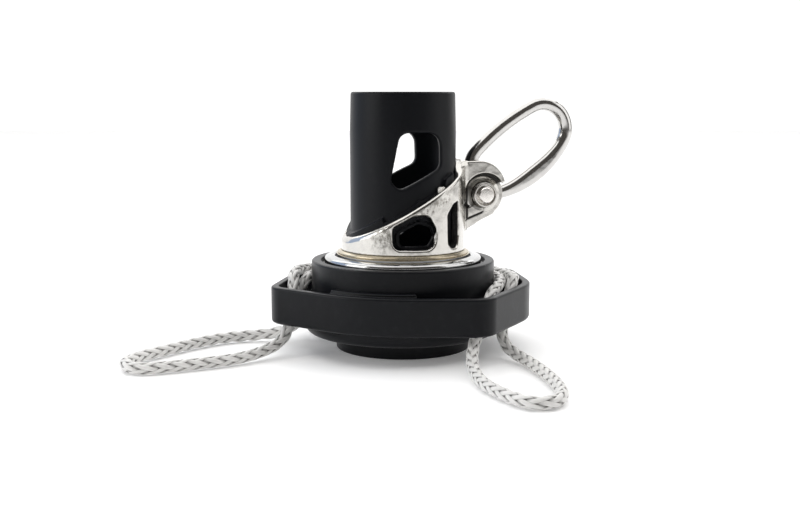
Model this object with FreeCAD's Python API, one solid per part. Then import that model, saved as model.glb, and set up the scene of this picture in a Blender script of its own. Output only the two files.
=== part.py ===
import FreeCAD, Part
import math
import os
from FreeCAD import Vector

# Halyard swivel for a jib furler, in millimetres.
# +Z is the axis the two halves turn about, z = 0 is the face it rests on,
# and +X points to the clevis that carries the halyard link.

# Guide sleeve, the black tube that slides on the luff section
LUFF_BORE_R = 21.5
SLEEVE_WALL = 3.1
SLEEVE_ABOVE_FOOT = 72.9
SLEEVE_TAPER = 0.4
SLEEVE_TAPER_LENGTH = 17.0
SLIDE_FIT = 0.1
RUN_GAP = 0.3

# Saddle, the polished casting with the clevis
SADDLE_FOOT_WALL = 4.3
SADDLE_RIM_WALL = 3.8
SADDLE_SLOPE = 30.1
SADDLE_RIM_RISE = 22.2
SADDLE_SPIGOT_WALL = 1.4
SADDLE_SPIGOT_LENGTH = 8.0
WEAR_RING_HEIGHT = 2.0
WEAR_RING_GAP = 0.2
FOOT_GAP = 0.4

# The sleeve's lip, which lies on the saddle's slanted rim
LIP_WIDTH = 1.75
LIP_SINK = 1.5
LIP_RISE = 0.9

# Ball bearing between the halves, from the saddle's spigot outwards
INNER_LAND_WALL = 1.7
INNER_GROOVE_WALL = 1.05
BALL_R = 3.0
BALL_COUNT = 20
BALL_GROOVE_CLEARANCE = 0.15
INNER_SHOULDER_DROP = 1.0
OUTER_SHOULDER_RISE = 2.0
OUTER_RACE_WALL = 4.4
RACE_HEIGHT = 8.4
RACE_SPACER_HEIGHT = 7.6
CAGE_CLEARANCE = 0.3

# Top ring, circlip and seals
TOP_RING_STEP = 1.7
TOP_RING_WIDTH = 4.9
TOP_RING_FLANGE = 1.6
TOP_RING_EDGE_RISE = 0.5
TOP_RING_CREST_RISE = 2.4
CIRCLIP_THICKNESS = 1.2
CIRCLIP_BITE = 1.0
SEAL_THICKNESS_R = 1.5
LOWER_SEAL_HEIGHT = 2.8
SEAL_GROOVE_LIP = 1.4

# Base ring under the housing, and its screws
BASE_RING_HEIGHT = 7.9
BASE_RING_WIDTH = 6.9
BASE_RING_GAP = 0.5
BASE_SCREW_COUNT = 4
BASE_SCREW_R = 1.15
BASE_SCREW_HEAD_R = 2.1
BASE_SCREW_OFFSET = 3.6
BASE_SCREW_LENGTH = 11.0
BASE_SCREW_SINK = 0.3

# Housing round the bearing
CUP_WALL = 4.4
CUP_LIP_HEIGHT = 3.8
BODY_STEP = 3.4
BODY_EDGE_R = 4.0
BODY_SHOULDER_DROP = 4.6
FLOOR_THICKNESS = 4.1
FLOOR_HOLE_GAP = 1.8

# Band round the housing, which holds the strop
BAND_RISE = 6.5
BAND_HEIGHT = 17.0
BAND_WALL = 3.6
BAND_TURN = -34.2
BAND_FRONT_NOSE = 55.6
BAND_FRONT_CORNER = (50.5, 39.0)
BAND_END = (60.2, 12.5)
BAND_END_ROUND = 38.0
BAND_REAR_CORNER = (40.5, 52.4)
BAND_REAR_NOSE = 61.5
BAND_TOP_EDGE_R = 1.0
BAND_BOTTOM_EDGE_R = 1.8
FRONT_WEB_ANGLE = 26.0
FRONT_WEB_DROP = 0.6
FRONT_LEDGE_RISE = 0.9
REAR_WEB_ANGLE = 50.0
STROP_CHANNEL_DEPTH = 3.0

# Clevis and its pin
PIN_REACH = 8.9
PIN_RISE = 25.0
PIN_R = 3.7
PIN_FIT = 0.05
PIN_END_STAND = 1.2
PIN_CHAMFER = 0.5
EAR_PLATE = 2.5
EAR_HOOD = 2.9
EAR_R = 10.4
EAR_TOP_RISE = 15.9
HOOD_R = 12.8
HOOD_SETBACK = 2.4
EAR_BOSS_R = 6.8
EAR_BOSS_HEIGHT = 2.4
COLLAR_R = 5.8
COLLAR_THICKNESS = 1.6
COLLAR_SINK = 1.0
CLEVIS_BACK_GAP = 0.5
THROAT_WALL = 2.4
THROAT_RISE = 3.0

# Halyard link, a closed oval ring with an eye for the pin; reach and rise are from the pin
LINK_BAR_R = 3.3
LINK_END_R = 12.0
LINK_TIP_REACH = 32.1
LINK_TIP_RISE = 30.2
LINK_ROOT_REACH = 7.8
LINK_ROOT_RISE = 12.2
LINK_UPPER_BOW = 1.3
LINK_LOWER_BOW = 3.6
LINK_EYE_R = 8.3
LINK_EYE_WIDTH = 7.4
LINK_EYE_EDGE_R = 1.6
LINK_SIDE_PLAY = 0.4
LINK_BUSH_WALL = 1.25
LINK_BUSH_STAND = 0.2

# Strop, one endless braided line
STROP_R = 2.9
WHIPPING_WALL = 0.5
WHIPPING_LENGTH = 10.4

# Wall openings, each cut on the two sides: (degrees past -Y, rise above the foot, corner radius)
SADDLE_WINDOW = [
    (-24.5, 2.6, 3.0), (14.5, 2.6, 4.0), (15.5, 11.9, 3.0),
    (7.0, 18.0, 3.5), (-6.0, 17.8, 2.0), (-25.0, 12.6, 2.5)]
SADDLE_SLOT = [
    (30.0, 5.9, 2.0), (36.5, 2.4, 3.0), (43.0, 3.0, 2.5), (46.5, 9.4, 4.0),
    (47.0, 23.7, 1.2), (37.5, 22.3, 3.0), (29.5, 17.9, 3.0)]
SLEEVE_UPPER_WINDOW = [
    (-18.0, 54.6, 4.5), (15.5, 54.6, 5.0), (28.5, 50.9, 4.0), (28.5, 40.4, 4.0),
    (22.0, 37.6, 2.0), (-18.5, 29.0, 3.2), (-28.0, 32.9, 3.2)]
SLEEVE_LOWER_WINDOW = [
    (-19.0, 3.8, 2.5), (12.5, 3.8, 3.0), (19.0, 7.4, 2.5), (15.0, 12.0, 2.0),
    (0.5, 14.0, 3.0), (-19.5, 9.6, 2.0)]

# Radii that follow, from the bore outwards
SLEEVE_R = LUFF_BORE_R + SLEEVE_WALL
SADDLE_BORE_R = SLEEVE_R + SLIDE_FIT
SADDLE_FOOT_R = SADDLE_BORE_R + SADDLE_FOOT_WALL
SADDLE_RIM_R = SADDLE_BORE_R + SADDLE_RIM_WALL
SADDLE_SPIGOT_R = SADDLE_BORE_R + SADDLE_SPIGOT_WALL
INNER_LAND_R = SADDLE_SPIGOT_R + INNER_LAND_WALL
BALL_CIRCLE_R = INNER_LAND_R + INNER_GROOVE_WALL + BALL_R + BALL_GROOVE_CLEARANCE
INNER_SHOULDER_R = BALL_CIRCLE_R - INNER_SHOULDER_DROP
OUTER_SHOULDER_R = BALL_CIRCLE_R + OUTER_SHOULDER_RISE
CUP_BORE_R = OUTER_SHOULDER_R + OUTER_RACE_WALL + SLIDE_FIT
CUP_R = CUP_BORE_R + CUP_WALL
BODY_R = CUP_R + BODY_STEP
FLOOR_HOLE_R = SLEEVE_R + FLOOR_HOLE_GAP
BASE_RING_R = SLEEVE_R + BASE_RING_WIDTH
BASE_SCREW_CIRCLE_R = SLEEVE_R + BASE_SCREW_OFFSET
TOP_RING_R = CUP_BORE_R - TOP_RING_STEP
TOP_RING_BORE_R = TOP_RING_R - TOP_RING_WIDTH
WEAR_RING_R = TOP_RING_BORE_R - WEAR_RING_GAP

# Heights that follow, from the floor up
BODY_BOTTOM_Z = BASE_RING_HEIGHT
FLOOR_TOP_Z = BODY_BOTTOM_Z + FLOOR_THICKNESS
BAND_BOTTOM_Z = BODY_BOTTOM_Z + BAND_RISE
BAND_TOP_Z = BAND_BOTTOM_Z + BAND_HEIGHT
CHANNEL_Z = BAND_TOP_Z - STROP_CHANNEL_DEPTH
BODY_SHOULDER_Z = CHANNEL_Z - BODY_SHOULDER_DROP
LOWER_RACE_Z = FLOOR_TOP_Z
RACE_SPACER_Z = LOWER_RACE_Z + RACE_HEIGHT
UPPER_RACE_Z = RACE_SPACER_Z + RACE_SPACER_HEIGHT
RACE_STACK_TOP_Z = UPPER_RACE_Z + RACE_HEIGHT
LOWER_BALL_Z = LOWER_RACE_Z + RACE_HEIGHT / 2
UPPER_BALL_Z = UPPER_RACE_Z + RACE_HEIGHT / 2
CIRCLIP_Z = RACE_STACK_TOP_Z + TOP_RING_FLANGE
CUP_TOP_Z = CIRCLIP_Z + CUP_LIP_HEIGHT
TOP_RING_EDGE_Z = CUP_TOP_Z + TOP_RING_EDGE_RISE
TOP_RING_CREST_Z = CUP_TOP_Z + TOP_RING_CREST_RISE
WEAR_RING_Z = TOP_RING_CREST_Z + FOOT_GAP
SADDLE_FOOT_Z = WEAR_RING_Z + WEAR_RING_HEIGHT
SADDLE_RIM_MID_Z = SADDLE_FOOT_Z + SADDLE_RIM_RISE
SLEEVE_TOP_Z = SADDLE_FOOT_Z + SLEEVE_ABOVE_FOOT

# Clevis places that follow
PIN_X = SADDLE_RIM_R + PIN_REACH
PIN_Z = SADDLE_FOOT_Z + PIN_RISE
EAR_TOP_Z = PIN_Z + EAR_TOP_RISE
CLEVIS_HALF = LINK_EYE_WIDTH / 2 + LINK_SIDE_PLAY
EAR_FACE_Y = CLEVIS_HALF + EAR_PLATE
HOOD_FACE_Y = EAR_FACE_Y + EAR_HOOD
BOSS_FACE_Y = EAR_FACE_Y + EAR_BOSS_HEIGHT
PIN_HALF_LENGTH = BOSS_FACE_Y + COLLAR_THICKNESS + PIN_END_STAND
PIN_HOLE_R = PIN_R + PIN_FIT
EAR_ROOT_X = SADDLE_BORE_R - 6
AXIS_Z = Vector(0, 0, 1)
AXIS_Y = Vector(0, 1, 0)
ORIGIN = Vector(0, 0, 0)


def rounded_wire(corners, place):
    """Closed wire through corners (a, b, radius), each corner rounded by its own arc.

    place turns a pair (a, b) into a point in space.
    """
    count = len(corners)
    entries, exits, middles = [], [], []
    for i in range(count):
        before = corners[i - 1]
        here = corners[i]
        after = corners[(i + 1) % count]
        radius = here[2] if len(here) > 2 else 0.0
        to_before = Vector(before[0] - here[0], before[1] - here[1], 0).normalize()
        to_after = Vector(after[0] - here[0], after[1] - here[1], 0).normalize()
        point = Vector(here[0], here[1], 0)
        if radius <= 0:
            entries.append(point)
            exits.append(point)
            middles.append(None)
            continue
        half = to_before.getAngle(to_after) / 2
        reach = radius / math.tan(half)
        bisector = (to_before + to_after).normalize()
        centre = point + bisector * (radius / math.sin(half))
        entries.append(point + to_before * reach)
        exits.append(point + to_after * reach)
        middles.append(centre - bisector * radius)
    edges = []
    for i in range(count):
        after = (i + 1) % count
        if middles[i] is not None:
            edges.append(Part.Arc(place(entries[i]), place(middles[i]), place(exits[i])).toShape())
        if (entries[after] - exits[i]).Length > 1e-6:
            edges.append(Part.LineSegment(place(exits[i]), place(entries[after])).toShape())
    return Part.Wire(edges)


def turned(corners):
    """Solid of revolution about Z from a profile of corners (r, z, radius)."""
    wire = rounded_wire(corners, lambda p: Vector(p.x, 0, p.y))
    return Part.Face(wire).revolve(ORIGIN, AXIS_Z, 360)


def ring(inner_r, outer_r, z_low, z_high, chamfer=0.0):
    """Plain ring with square inner edges and chamfered outer edges."""
    if chamfer <= 0:
        return turned([(inner_r, z_low), (outer_r, z_low), (outer_r, z_high), (inner_r, z_high)])
    return turned([
        (inner_r, z_low), (outer_r - chamfer, z_low), (outer_r, z_low + chamfer),
        (outer_r, z_high - chamfer), (outer_r - chamfer, z_high), (inner_r, z_high)])


def plate(corners, z_low, z_high):
    """Plan outline of corners (x, y, radius) carried up from z_low to z_high."""
    wire = rounded_wire(corners, lambda p: Vector(p.x, p.y, z_low))
    return Part.Face(wire).extrude(Vector(0, 0, z_high - z_low))


def side_plate(corners, y_low, y_high):
    """Side outline of corners (x, z, radius) carried across from y_low to y_high."""
    wire = rounded_wire(corners, lambda p: Vector(p.x, y_low, p.y))
    return Part.Face(wire).extrude(Vector(0, y_high - y_low, 0))


def cross_cylinder(radius, y_low, y_high, x=PIN_X, z=PIN_Z):
    """Cylinder along Y."""
    return Part.makeCylinder(radius, y_high - y_low, Vector(x, y_low, z), AXIS_Y)


def sector(radius, middle_angle, half_angle, z_low, z_high):
    """Slice of a round bar about Z, half_angle each side of middle_angle."""
    bar = Part.makeCylinder(radius, z_high - z_low, Vector(0, 0, z_low), AXIS_Z, 2 * half_angle)
    bar.rotate(ORIGIN, AXIS_Z, middle_angle - half_angle)
    return bar


def mirrored(shape):
    """The shape and its mirror image across the XZ plane."""
    return [shape, shape.mirror(ORIGIN, AXIS_Y)]


def inset(corners, distance):
    """Convex outline moved inwards, its corner radii reduced to match."""
    count = len(corners)
    lines = []
    for i in range(count):
        start = corners[i]
        end = corners[(i + 1) % count]
        length = math.hypot(end[0] - start[0], end[1] - start[1])
        dx = (end[0] - start[0]) / length
        dy = (end[1] - start[1]) / length
        lines.append((start[0] - dy * distance, start[1] + dx * distance, dx, dy))
    moved = []
    for i in range(count):
        ax, ay, adx, ady = lines[i - 1]
        bx, by, bdx, bdy = lines[i]
        along = ((bx - ax) * bdy - (by - ay) * bdx) / (adx * bdy - ady * bdx)
        radius = max(corners[i][2] - distance, 1.0)
        moved.append((ax + adx * along, ay + ady * along, radius))
    return moved


def band_outline():
    """Plan of the strop band: mirror image left and right, deeper behind for two strands."""
    half = [
        (BAND_FRONT_CORNER[0], -BAND_FRONT_CORNER[1], 7.0),
        (BAND_END[0], BAND_END[1], BAND_END_ROUND),
        (BAND_REAR_CORNER[0], BAND_REAR_CORNER[1], 14.0)]
    left = [(-x, y, radius) for x, y, radius in reversed(half)]
    return [(0.0, -BAND_FRONT_NOSE, 70.0)] + half + [(0.0, BAND_REAR_NOSE, 60.0)] + left


def edges_at_height(shape, height):
    """Edges that lie wholly in the plane z = height."""
    return [edge for edge in shape.Edges
            if abs(edge.BoundBox.ZMin - height) < 1e-4 and abs(edge.BoundBox.ZMax - height) < 1e-4]


def outer_profile(inner_corners):
    """Corners of the housing's turned section: its outside, then inner_corners back to the axis side."""
    return [
        (BODY_R, BODY_BOTTOM_Z, BODY_EDGE_R), (BODY_R, BODY_SHOULDER_Z),
        (CUP_R, BODY_SHOULDER_Z + BODY_STEP), (CUP_R, CUP_TOP_Z, 1.0)] + inner_corners


def make_swivel_housing():
    """Cup and lower body, with the bearing's seat, the circlip's groove and the holed floor."""
    groove_r = CUP_BORE_R + CIRCLIP_BITE + SLIDE_FIT
    groove_low = CIRCLIP_Z - SLIDE_FIT / 2
    groove_high = CIRCLIP_Z + CIRCLIP_THICKNESS + SLIDE_FIT / 2
    body = turned(outer_profile([
        (CUP_BORE_R, CUP_TOP_Z, 0.5), (CUP_BORE_R, groove_high), (groove_r, groove_high),
        (groove_r, groove_low), (CUP_BORE_R, groove_low), (CUP_BORE_R, FLOOR_TOP_Z),
        (FLOOR_HOLE_R, FLOOR_TOP_Z), (FLOOR_HOLE_R, BODY_BOTTOM_Z)]))
    screw_holes = [Part.makeCylinder(BASE_SCREW_R + SLIDE_FIT, BASE_SCREW_LENGTH, centre)
                   for centre in base_screw_centres()]
    return body.cut(Part.makeCompound(screw_holes))


def make_strop_band():
    """Band with its two slots and the two webs that join it to the housing."""
    outline = band_outline()
    inner_outline = inset(outline, BAND_WALL)
    outer = plate(outline, BAND_BOTTOM_Z, BAND_TOP_Z)
    outer = outer.makeFillet(BAND_TOP_EDGE_R, edges_at_height(outer, BAND_TOP_Z))
    outer = outer.makeFillet(BAND_BOTTOM_EDGE_R, edges_at_height(outer, BAND_BOTTOM_Z))
    band = outer.cut(plate(inner_outline, BAND_BOTTOM_Z - 1, BAND_TOP_Z + 1))
    within_band = plate(inset(outline, BAND_WALL / 2), BAND_BOTTOM_Z, CUP_TOP_Z)
    front_web = sector(BAND_REAR_NOSE, -90, FRONT_WEB_ANGLE, BAND_BOTTOM_Z, BAND_TOP_Z - FRONT_WEB_DROP)
    ledge = sector(BODY_R, -90, FRONT_WEB_ANGLE, BAND_BOTTOM_Z, BAND_TOP_Z + FRONT_LEDGE_RISE)
    rear_web = sector(BAND_REAR_NOSE, 90, REAR_WEB_ANGLE, BAND_BOTTOM_Z, CHANNEL_Z)
    webs = front_web.fuse([ledge, rear_web]).common(within_band)
    housing = turned(outer_profile([(0, CUP_TOP_Z), (0, BODY_BOTTOM_Z)]))
    joined = band.fuse(webs).cut(housing).removeSplitter()
    joined.rotate(ORIGIN, AXIS_Z, BAND_TURN)
    return joined


def base_screw_centres():
    """Bottom centres of the base ring's screws."""
    step = 360 / BASE_SCREW_COUNT
    angles = [math.radians(step * (i + 0.5)) for i in range(BASE_SCREW_COUNT)]
    return [Vector(BASE_SCREW_CIRCLE_R * math.cos(a), BASE_SCREW_CIRCLE_R * math.sin(a), BASE_SCREW_SINK)
            for a in angles]


def make_base_ring():
    sleeve_room = SLEEVE_R + BASE_RING_GAP
    seal_room = sleeve_room + SEAL_THICKNESS_R + SLIDE_FIT
    groove_high = BODY_BOTTOM_Z - SEAL_GROOVE_LIP
    groove_low = groove_high - LOWER_SEAL_HEIGHT
    body = turned([
        (sleeve_room, 0), (BASE_RING_R, 0, 0.6), (BASE_RING_R, BODY_BOTTOM_Z),
        (sleeve_room, BODY_BOTTOM_Z), (sleeve_room, groove_high), (seal_room, groove_high),
        (seal_room, groove_low), (sleeve_room, groove_low)])
    cuts = []
    for centre in base_screw_centres():
        below = Vector(centre.x, centre.y, -1)
        mouth = Part.makeCylinder(BASE_SCREW_HEAD_R + SLIDE_FIT, 1 + centre.z, below)
        shank = Part.makeCylinder(BASE_SCREW_R + SLIDE_FIT, BASE_SCREW_LENGTH, centre)
        cuts.append(mouth.fuse([screw_head(centre, SLIDE_FIT), shank]).removeSplitter())
    return body.cut(Part.makeCompound(cuts))


def screw_head(centre, clearance=0.0):
    """Countersunk head, wide end down."""
    head_r = BASE_SCREW_HEAD_R + clearance
    shank_r = BASE_SCREW_R + clearance
    return Part.makeCone(head_r, shank_r, BASE_SCREW_HEAD_R - BASE_SCREW_R, centre)


def make_base_ring_screws():
    screws = []
    for centre in base_screw_centres():
        shank = Part.makeCylinder(BASE_SCREW_R, BASE_SCREW_LENGTH - 0.5, centre)
        slot = Part.makeBox(2 * BASE_SCREW_HEAD_R, 0.6, 0.5,
                            Vector(centre.x - BASE_SCREW_HEAD_R, centre.y - 0.3, centre.z))
        screws.append(shank.fuse(screw_head(centre)).cut(slot).removeSplitter())
    return Part.makeCompound(screws)


def make_lower_seal():
    z_high = BODY_BOTTOM_Z - SEAL_GROOVE_LIP - SLIDE_FIT
    z_low = z_high - LOWER_SEAL_HEIGHT + 2 * SLIDE_FIT
    return ring(SLEEVE_R + RUN_GAP, SLEEVE_R + BASE_RING_GAP + SEAL_THICKNESS_R, z_low, z_high)


def outer_race(z_low, open_side):
    """Outer race: a shoulder on one side of the balls, open on the other for assembly."""
    groove_r = BALL_R + BALL_GROOVE_CLEARANCE
    ball_z = z_low + RACE_HEIGHT / 2
    body = ring(OUTER_SHOULDER_R, CUP_BORE_R - SLIDE_FIT, z_low, z_low + RACE_HEIGHT, 0.4)
    groove = Part.makeTorus(BALL_CIRCLE_R, groove_r, Vector(0, 0, ball_z), AXIS_Z)
    relief_z = ball_z if open_side == "top" else z_low
    relief = Part.makeCylinder(BALL_CIRCLE_R + groove_r, RACE_HEIGHT / 2, Vector(0, 0, relief_z))
    return body.cut(groove).cut(relief)


def make_inner_race_sleeve():
    groove = Part.makeTorus(BALL_CIRCLE_R, BALL_R + BALL_GROOVE_CLEARANCE,
                            Vector(0, 0, LOWER_BALL_Z), AXIS_Z)
    counterbore_z = SADDLE_FOOT_Z - SADDLE_SPIGOT_LENGTH - SLIDE_FIT
    body = turned([
        (SADDLE_BORE_R, LOWER_RACE_Z + RUN_GAP), (INNER_SHOULDER_R, LOWER_RACE_Z + RUN_GAP, 0.4),
        (INNER_SHOULDER_R, LOWER_BALL_Z), (INNER_LAND_R, LOWER_BALL_Z),
        (INNER_LAND_R, WEAR_RING_Z), (SADDLE_SPIGOT_R + SLIDE_FIT / 2, WEAR_RING_Z),
        (SADDLE_SPIGOT_R + SLIDE_FIT / 2, counterbore_z), (SADDLE_BORE_R, counterbore_z)])
    return body.cut(groove)


def make_upper_inner_race():
    groove = Part.makeTorus(BALL_CIRCLE_R, BALL_R + BALL_GROOVE_CLEARANCE,
                            Vector(0, 0, UPPER_BALL_Z), AXIS_Z)
    seat_r = INNER_LAND_R + SLIDE_FIT / 2
    step_r = BALL_CIRCLE_R - BALL_R - BALL_GROOVE_CLEARANCE + 0.6
    body = turned([
        (seat_r, UPPER_RACE_Z), (step_r, UPPER_RACE_Z), (step_r, UPPER_BALL_Z),
        (INNER_SHOULDER_R, UPPER_BALL_Z), (INNER_SHOULDER_R, RACE_STACK_TOP_Z, 0.4),
        (seat_r, RACE_STACK_TOP_Z)])
    return body.cut(groove)


def make_inner_spacer():
    return ring(INNER_LAND_R + SLIDE_FIT / 2, TOP_RING_BORE_R - SEAL_THICKNESS_R - RUN_GAP,
                RACE_STACK_TOP_Z, WEAR_RING_Z)


def ball_places(height):
    step = 2 * math.pi / BALL_COUNT
    return [Vector(BALL_CIRCLE_R * math.cos(i * step), BALL_CIRCLE_R * math.sin(i * step), height)
            for i in range(BALL_COUNT)]


def make_balls(height):
    return Part.makeCompound([Part.makeSphere(BALL_R, place) for place in ball_places(height)])


def make_cage(height):
    """Cage ring with a round pocket for each ball."""
    half_height = RACE_HEIGHT / 2 - CAGE_CLEARANCE
    body = ring(INNER_SHOULDER_R + CAGE_CLEARANCE, OUTER_SHOULDER_R - CAGE_CLEARANCE,
                height - half_height, height + half_height)
    pockets = []
    for place in ball_places(height):
        outwards = Vector(place.x, place.y, 0).normalize()
        pockets.append(Part.makeCylinder(BALL_R + 0.1, 6, place - outwards * 3, outwards))
    return body.cut(Part.makeCompound(pockets))


def make_top_ring():
    """Polished ring that closes the housing over the bearing."""
    return turned([
        (TOP_RING_BORE_R, RACE_STACK_TOP_Z), (CUP_BORE_R - SLIDE_FIT, RACE_STACK_TOP_Z),
        (CUP_BORE_R - SLIDE_FIT, CIRCLIP_Z), (TOP_RING_R, CIRCLIP_Z),
        (TOP_RING_R, TOP_RING_EDGE_Z, 0.7), (TOP_RING_BORE_R + 0.6, TOP_RING_CREST_Z, 0.5),
        (TOP_RING_BORE_R, TOP_RING_CREST_Z - 0.5)])


def make_top_circlip():
    """Circlip in the cup's groove, with the gap and the two plier eyes."""
    outer = CUP_BORE_R + CIRCLIP_BITE
    body = ring(TOP_RING_R + 0.2, outer, CIRCLIP_Z, CIRCLIP_Z + CIRCLIP_THICKNESS)
    gap = sector(outer + 1, 90 + BAND_TURN, 6, CIRCLIP_Z - 1, CIRCLIP_Z + CIRCLIP_THICKNESS + 1)
    return body.cut(gap)


def make_upper_seal():
    return ring(TOP_RING_BORE_R - SEAL_THICKNESS_R, TOP_RING_BORE_R - SLIDE_FIT / 2,
                RACE_STACK_TOP_Z + 0.8, TOP_RING_CREST_Z - 1.2)


def make_wear_ring():
    """Straw-coloured ring between the saddle's foot and the top ring."""
    return turned([
        (SADDLE_SPIGOT_R + SLIDE_FIT / 2, WEAR_RING_Z), (WEAR_RING_R - 0.5, WEAR_RING_Z),
        (WEAR_RING_R, WEAR_RING_Z + 0.3), (WEAR_RING_R - 0.4, WEAR_RING_Z + 0.9),
        (SADDLE_FOOT_R + 0.3, SADDLE_FOOT_Z), (SADDLE_SPIGOT_R + SLIDE_FIT / 2, SADDLE_FOOT_Z)])


def rim_height(x, rise=0.0):
    """Height of the saddle's slanted rim at x."""
    return SADDLE_RIM_MID_Z + math.tan(math.radians(SADDLE_SLOPE)) * x + rise


def above_rim(rise=0.0):
    """Everything above the slanted rim plane."""
    reach = 60.0
    return side_plate([
        (-reach, rim_height(-reach, rise)), (reach, rim_height(reach, rise)),
        (reach, 2 * SLEEVE_TOP_Z), (-reach, 2 * SLEEVE_TOP_Z)], -reach, reach)


def saddle_shell():
    """Turned wall of the saddle, cut off along the slanted rim."""
    shell = turned([
        (SADDLE_BORE_R, SADDLE_FOOT_Z - SADDLE_SPIGOT_LENGTH),
        (SADDLE_SPIGOT_R, SADDLE_FOOT_Z - SADDLE_SPIGOT_LENGTH),
        (SADDLE_SPIGOT_R, SADDLE_FOOT_Z), (SADDLE_FOOT_R, SADDLE_FOOT_Z, 0.5),
        (SADDLE_RIM_R, EAR_TOP_Z), (SADDLE_BORE_R, EAR_TOP_Z)])
    return shell.cut(above_rim())


def make_halyard_saddle():
    """Casting round the sleeve, with its windows and the rebate for the sleeve's lip."""
    cuts = wall_openings(SADDLE_WINDOW, SADDLE_FOOT_R) + wall_openings(SADDLE_SLOT, SADDLE_FOOT_R)
    cuts += [lip_rebate(), link_room()]
    return saddle_shell().cut(Part.makeCompound(cuts)).removeSplitter()


def ear_outline():
    """Side view of an ear plate: round the pin, straight below, flat on top."""
    slope = math.radians(SADDLE_SLOPE)
    tangent_x = PIN_X + EAR_R * math.sin(slope)
    tangent_z = PIN_Z - EAR_R * math.cos(slope)
    low_z = tangent_z - (tangent_x - EAR_ROOT_X) * math.tan(slope)
    web = side_plate([
        (EAR_ROOT_X, low_z), (tangent_x, tangent_z), (PIN_X, PIN_Z + EAR_R / 2),
        (EAR_ROOT_X, EAR_TOP_Z)], -EAR_FACE_Y, EAR_FACE_Y)
    return web.fuse(cross_cylinder(EAR_R, -EAR_FACE_Y, EAR_FACE_Y))


def hood_solid():
    """Raised hood over the ears: flat top, then round towards the link."""
    centre_x = PIN_X - HOOD_SETBACK
    centre_z = EAR_TOP_Z - HOOD_R
    drop = side_plate([
        (EAR_ROOT_X, PIN_Z - 4), (PIN_X, PIN_Z), (centre_x + HOOD_R * 0.975, centre_z + 2.6),
        (centre_x, EAR_TOP_Z), (EAR_ROOT_X, EAR_TOP_Z)], -HOOD_FACE_Y, HOOD_FACE_Y)
    round_top = cross_cylinder(HOOD_R, -HOOD_FACE_Y, HOOD_FACE_Y, centre_x, centre_z)
    keep = side_plate([
        (centre_x, centre_z), (centre_x + 2 * HOOD_R, centre_z + 5.4),
        (centre_x + 2 * HOOD_R, EAR_TOP_Z + 5), (centre_x, EAR_TOP_Z + 5)],
        -HOOD_FACE_Y, HOOD_FACE_Y)
    return drop.fuse(round_top.common(keep))


def make_halyard_clevis():
    """The casting's two ears with their hood and bosses, and the gap between them for the link."""
    hood = hood_solid()
    for side in mirrored(cross_cylinder(EAR_R - SLIDE_FIT, -HOOD_FACE_Y - 1, -EAR_FACE_Y)):
        hood = hood.cut(side)
    bosses = cross_cylinder(EAR_BOSS_R, -BOSS_FACE_Y, BOSS_FACE_Y)
    solid = ear_outline().fuse([hood, bosses])
    solid = solid.cut(Part.makeCylinder(SADDLE_BORE_R, 2 * EAR_TOP_Z)).cut(saddle_shell())
    pin_hole = cross_cylinder(PIN_HOLE_R, -2 * HOOD_FACE_Y, 2 * HOOD_FACE_Y)
    return solid.cut(link_room()).cut(pin_hole).removeSplitter()


def link_room():
    """Room between the ears for the link's eye, and above it for the link's end."""
    reach = 2 * LINK_TIP_REACH
    depth = 2 * PIN_RISE
    gap_x = PIN_X - LINK_EYE_R - CLEVIS_BACK_GAP
    gap = Part.makeBox(reach, 2 * CLEVIS_HALF, 2 * depth, Vector(gap_x, -CLEVIS_HALF, PIN_Z - depth))
    throat_place = Vector(SADDLE_BORE_R + THROAT_WALL, -CLEVIS_HALF, PIN_Z + THROAT_RISE)
    throat = Part.makeBox(reach, 2 * CLEVIS_HALF, depth, throat_place)
    return gap.fuse(throat)


def wall_openings(points, wall_r):
    """The cutters of one opening on the two sides."""
    return mirrored(wall_cutter(points, wall_r))


def wall_cutter(points, wall_r):
    """Cutter for a wall opening whose corners are (degrees past -Y, rise above the foot, radius).

    The opening is drawn flat on a plane square to its middle direction and cut straight in.
    """
    low = min(p[0] for p in points)
    high = max(p[0] for p in points)
    middle = (low + high) / 2
    corners = [(wall_r * math.sin(math.radians(angle - middle)), SADDLE_FOOT_Z + rise, corner_r)
               for angle, rise, corner_r in points]
    cutter = side_plate(corners, -wall_r - 5, -wall_r * 0.55)
    cutter.rotate(ORIGIN, AXIS_Z, middle)
    return cutter


def lip_rebate():
    """Step inside the slanted rim where the sleeve's lip sits."""
    outer_r = SADDLE_BORE_R + LIP_WIDTH + SLIDE_FIT
    tube = ring(SADDLE_BORE_R - 1, outer_r, SADDLE_FOOT_Z, EAR_TOP_Z)
    return tube.common(above_rim(-LIP_SINK - SLIDE_FIT)).cut(ear_outline())


def make_guide_sleeve():
    taper_z = SLEEVE_TOP_Z - SLEEVE_TAPER_LENGTH
    tube = turned([
        (LUFF_BORE_R, 0), (SLEEVE_R, 0, 0.4), (SLEEVE_R, taper_z),
        (SLEEVE_R - SLEEVE_TAPER, SLEEVE_TOP_Z, 1.2), (LUFF_BORE_R, SLEEVE_TOP_Z, 1.0)])
    groove = ring(SLEEVE_R - 0.8, SLEEVE_R + 1, retaining_ring_z(), retaining_ring_z() + 1.3)
    lip = ring(SLEEVE_R - 0.5, SADDLE_BORE_R + LIP_WIDTH, SADDLE_FOOT_Z, EAR_TOP_Z)
    lip = lip.common(above_rim(-LIP_SINK)).cut(above_rim(LIP_RISE))
    lip = lip.cut(Part.makeBox(SLEEVE_R, 2 * SLEEVE_R, 2 * EAR_TOP_Z, Vector(EAR_ROOT_X + RUN_GAP, -SLEEVE_R, 0)))
    openings = wall_openings(SLEEVE_UPPER_WINDOW, SLEEVE_R) + wall_openings(SLEEVE_LOWER_WINDOW, SLEEVE_R)
    return tube.cut(groove).cut(Part.makeCompound(openings)).fuse(lip).removeSplitter()


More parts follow.
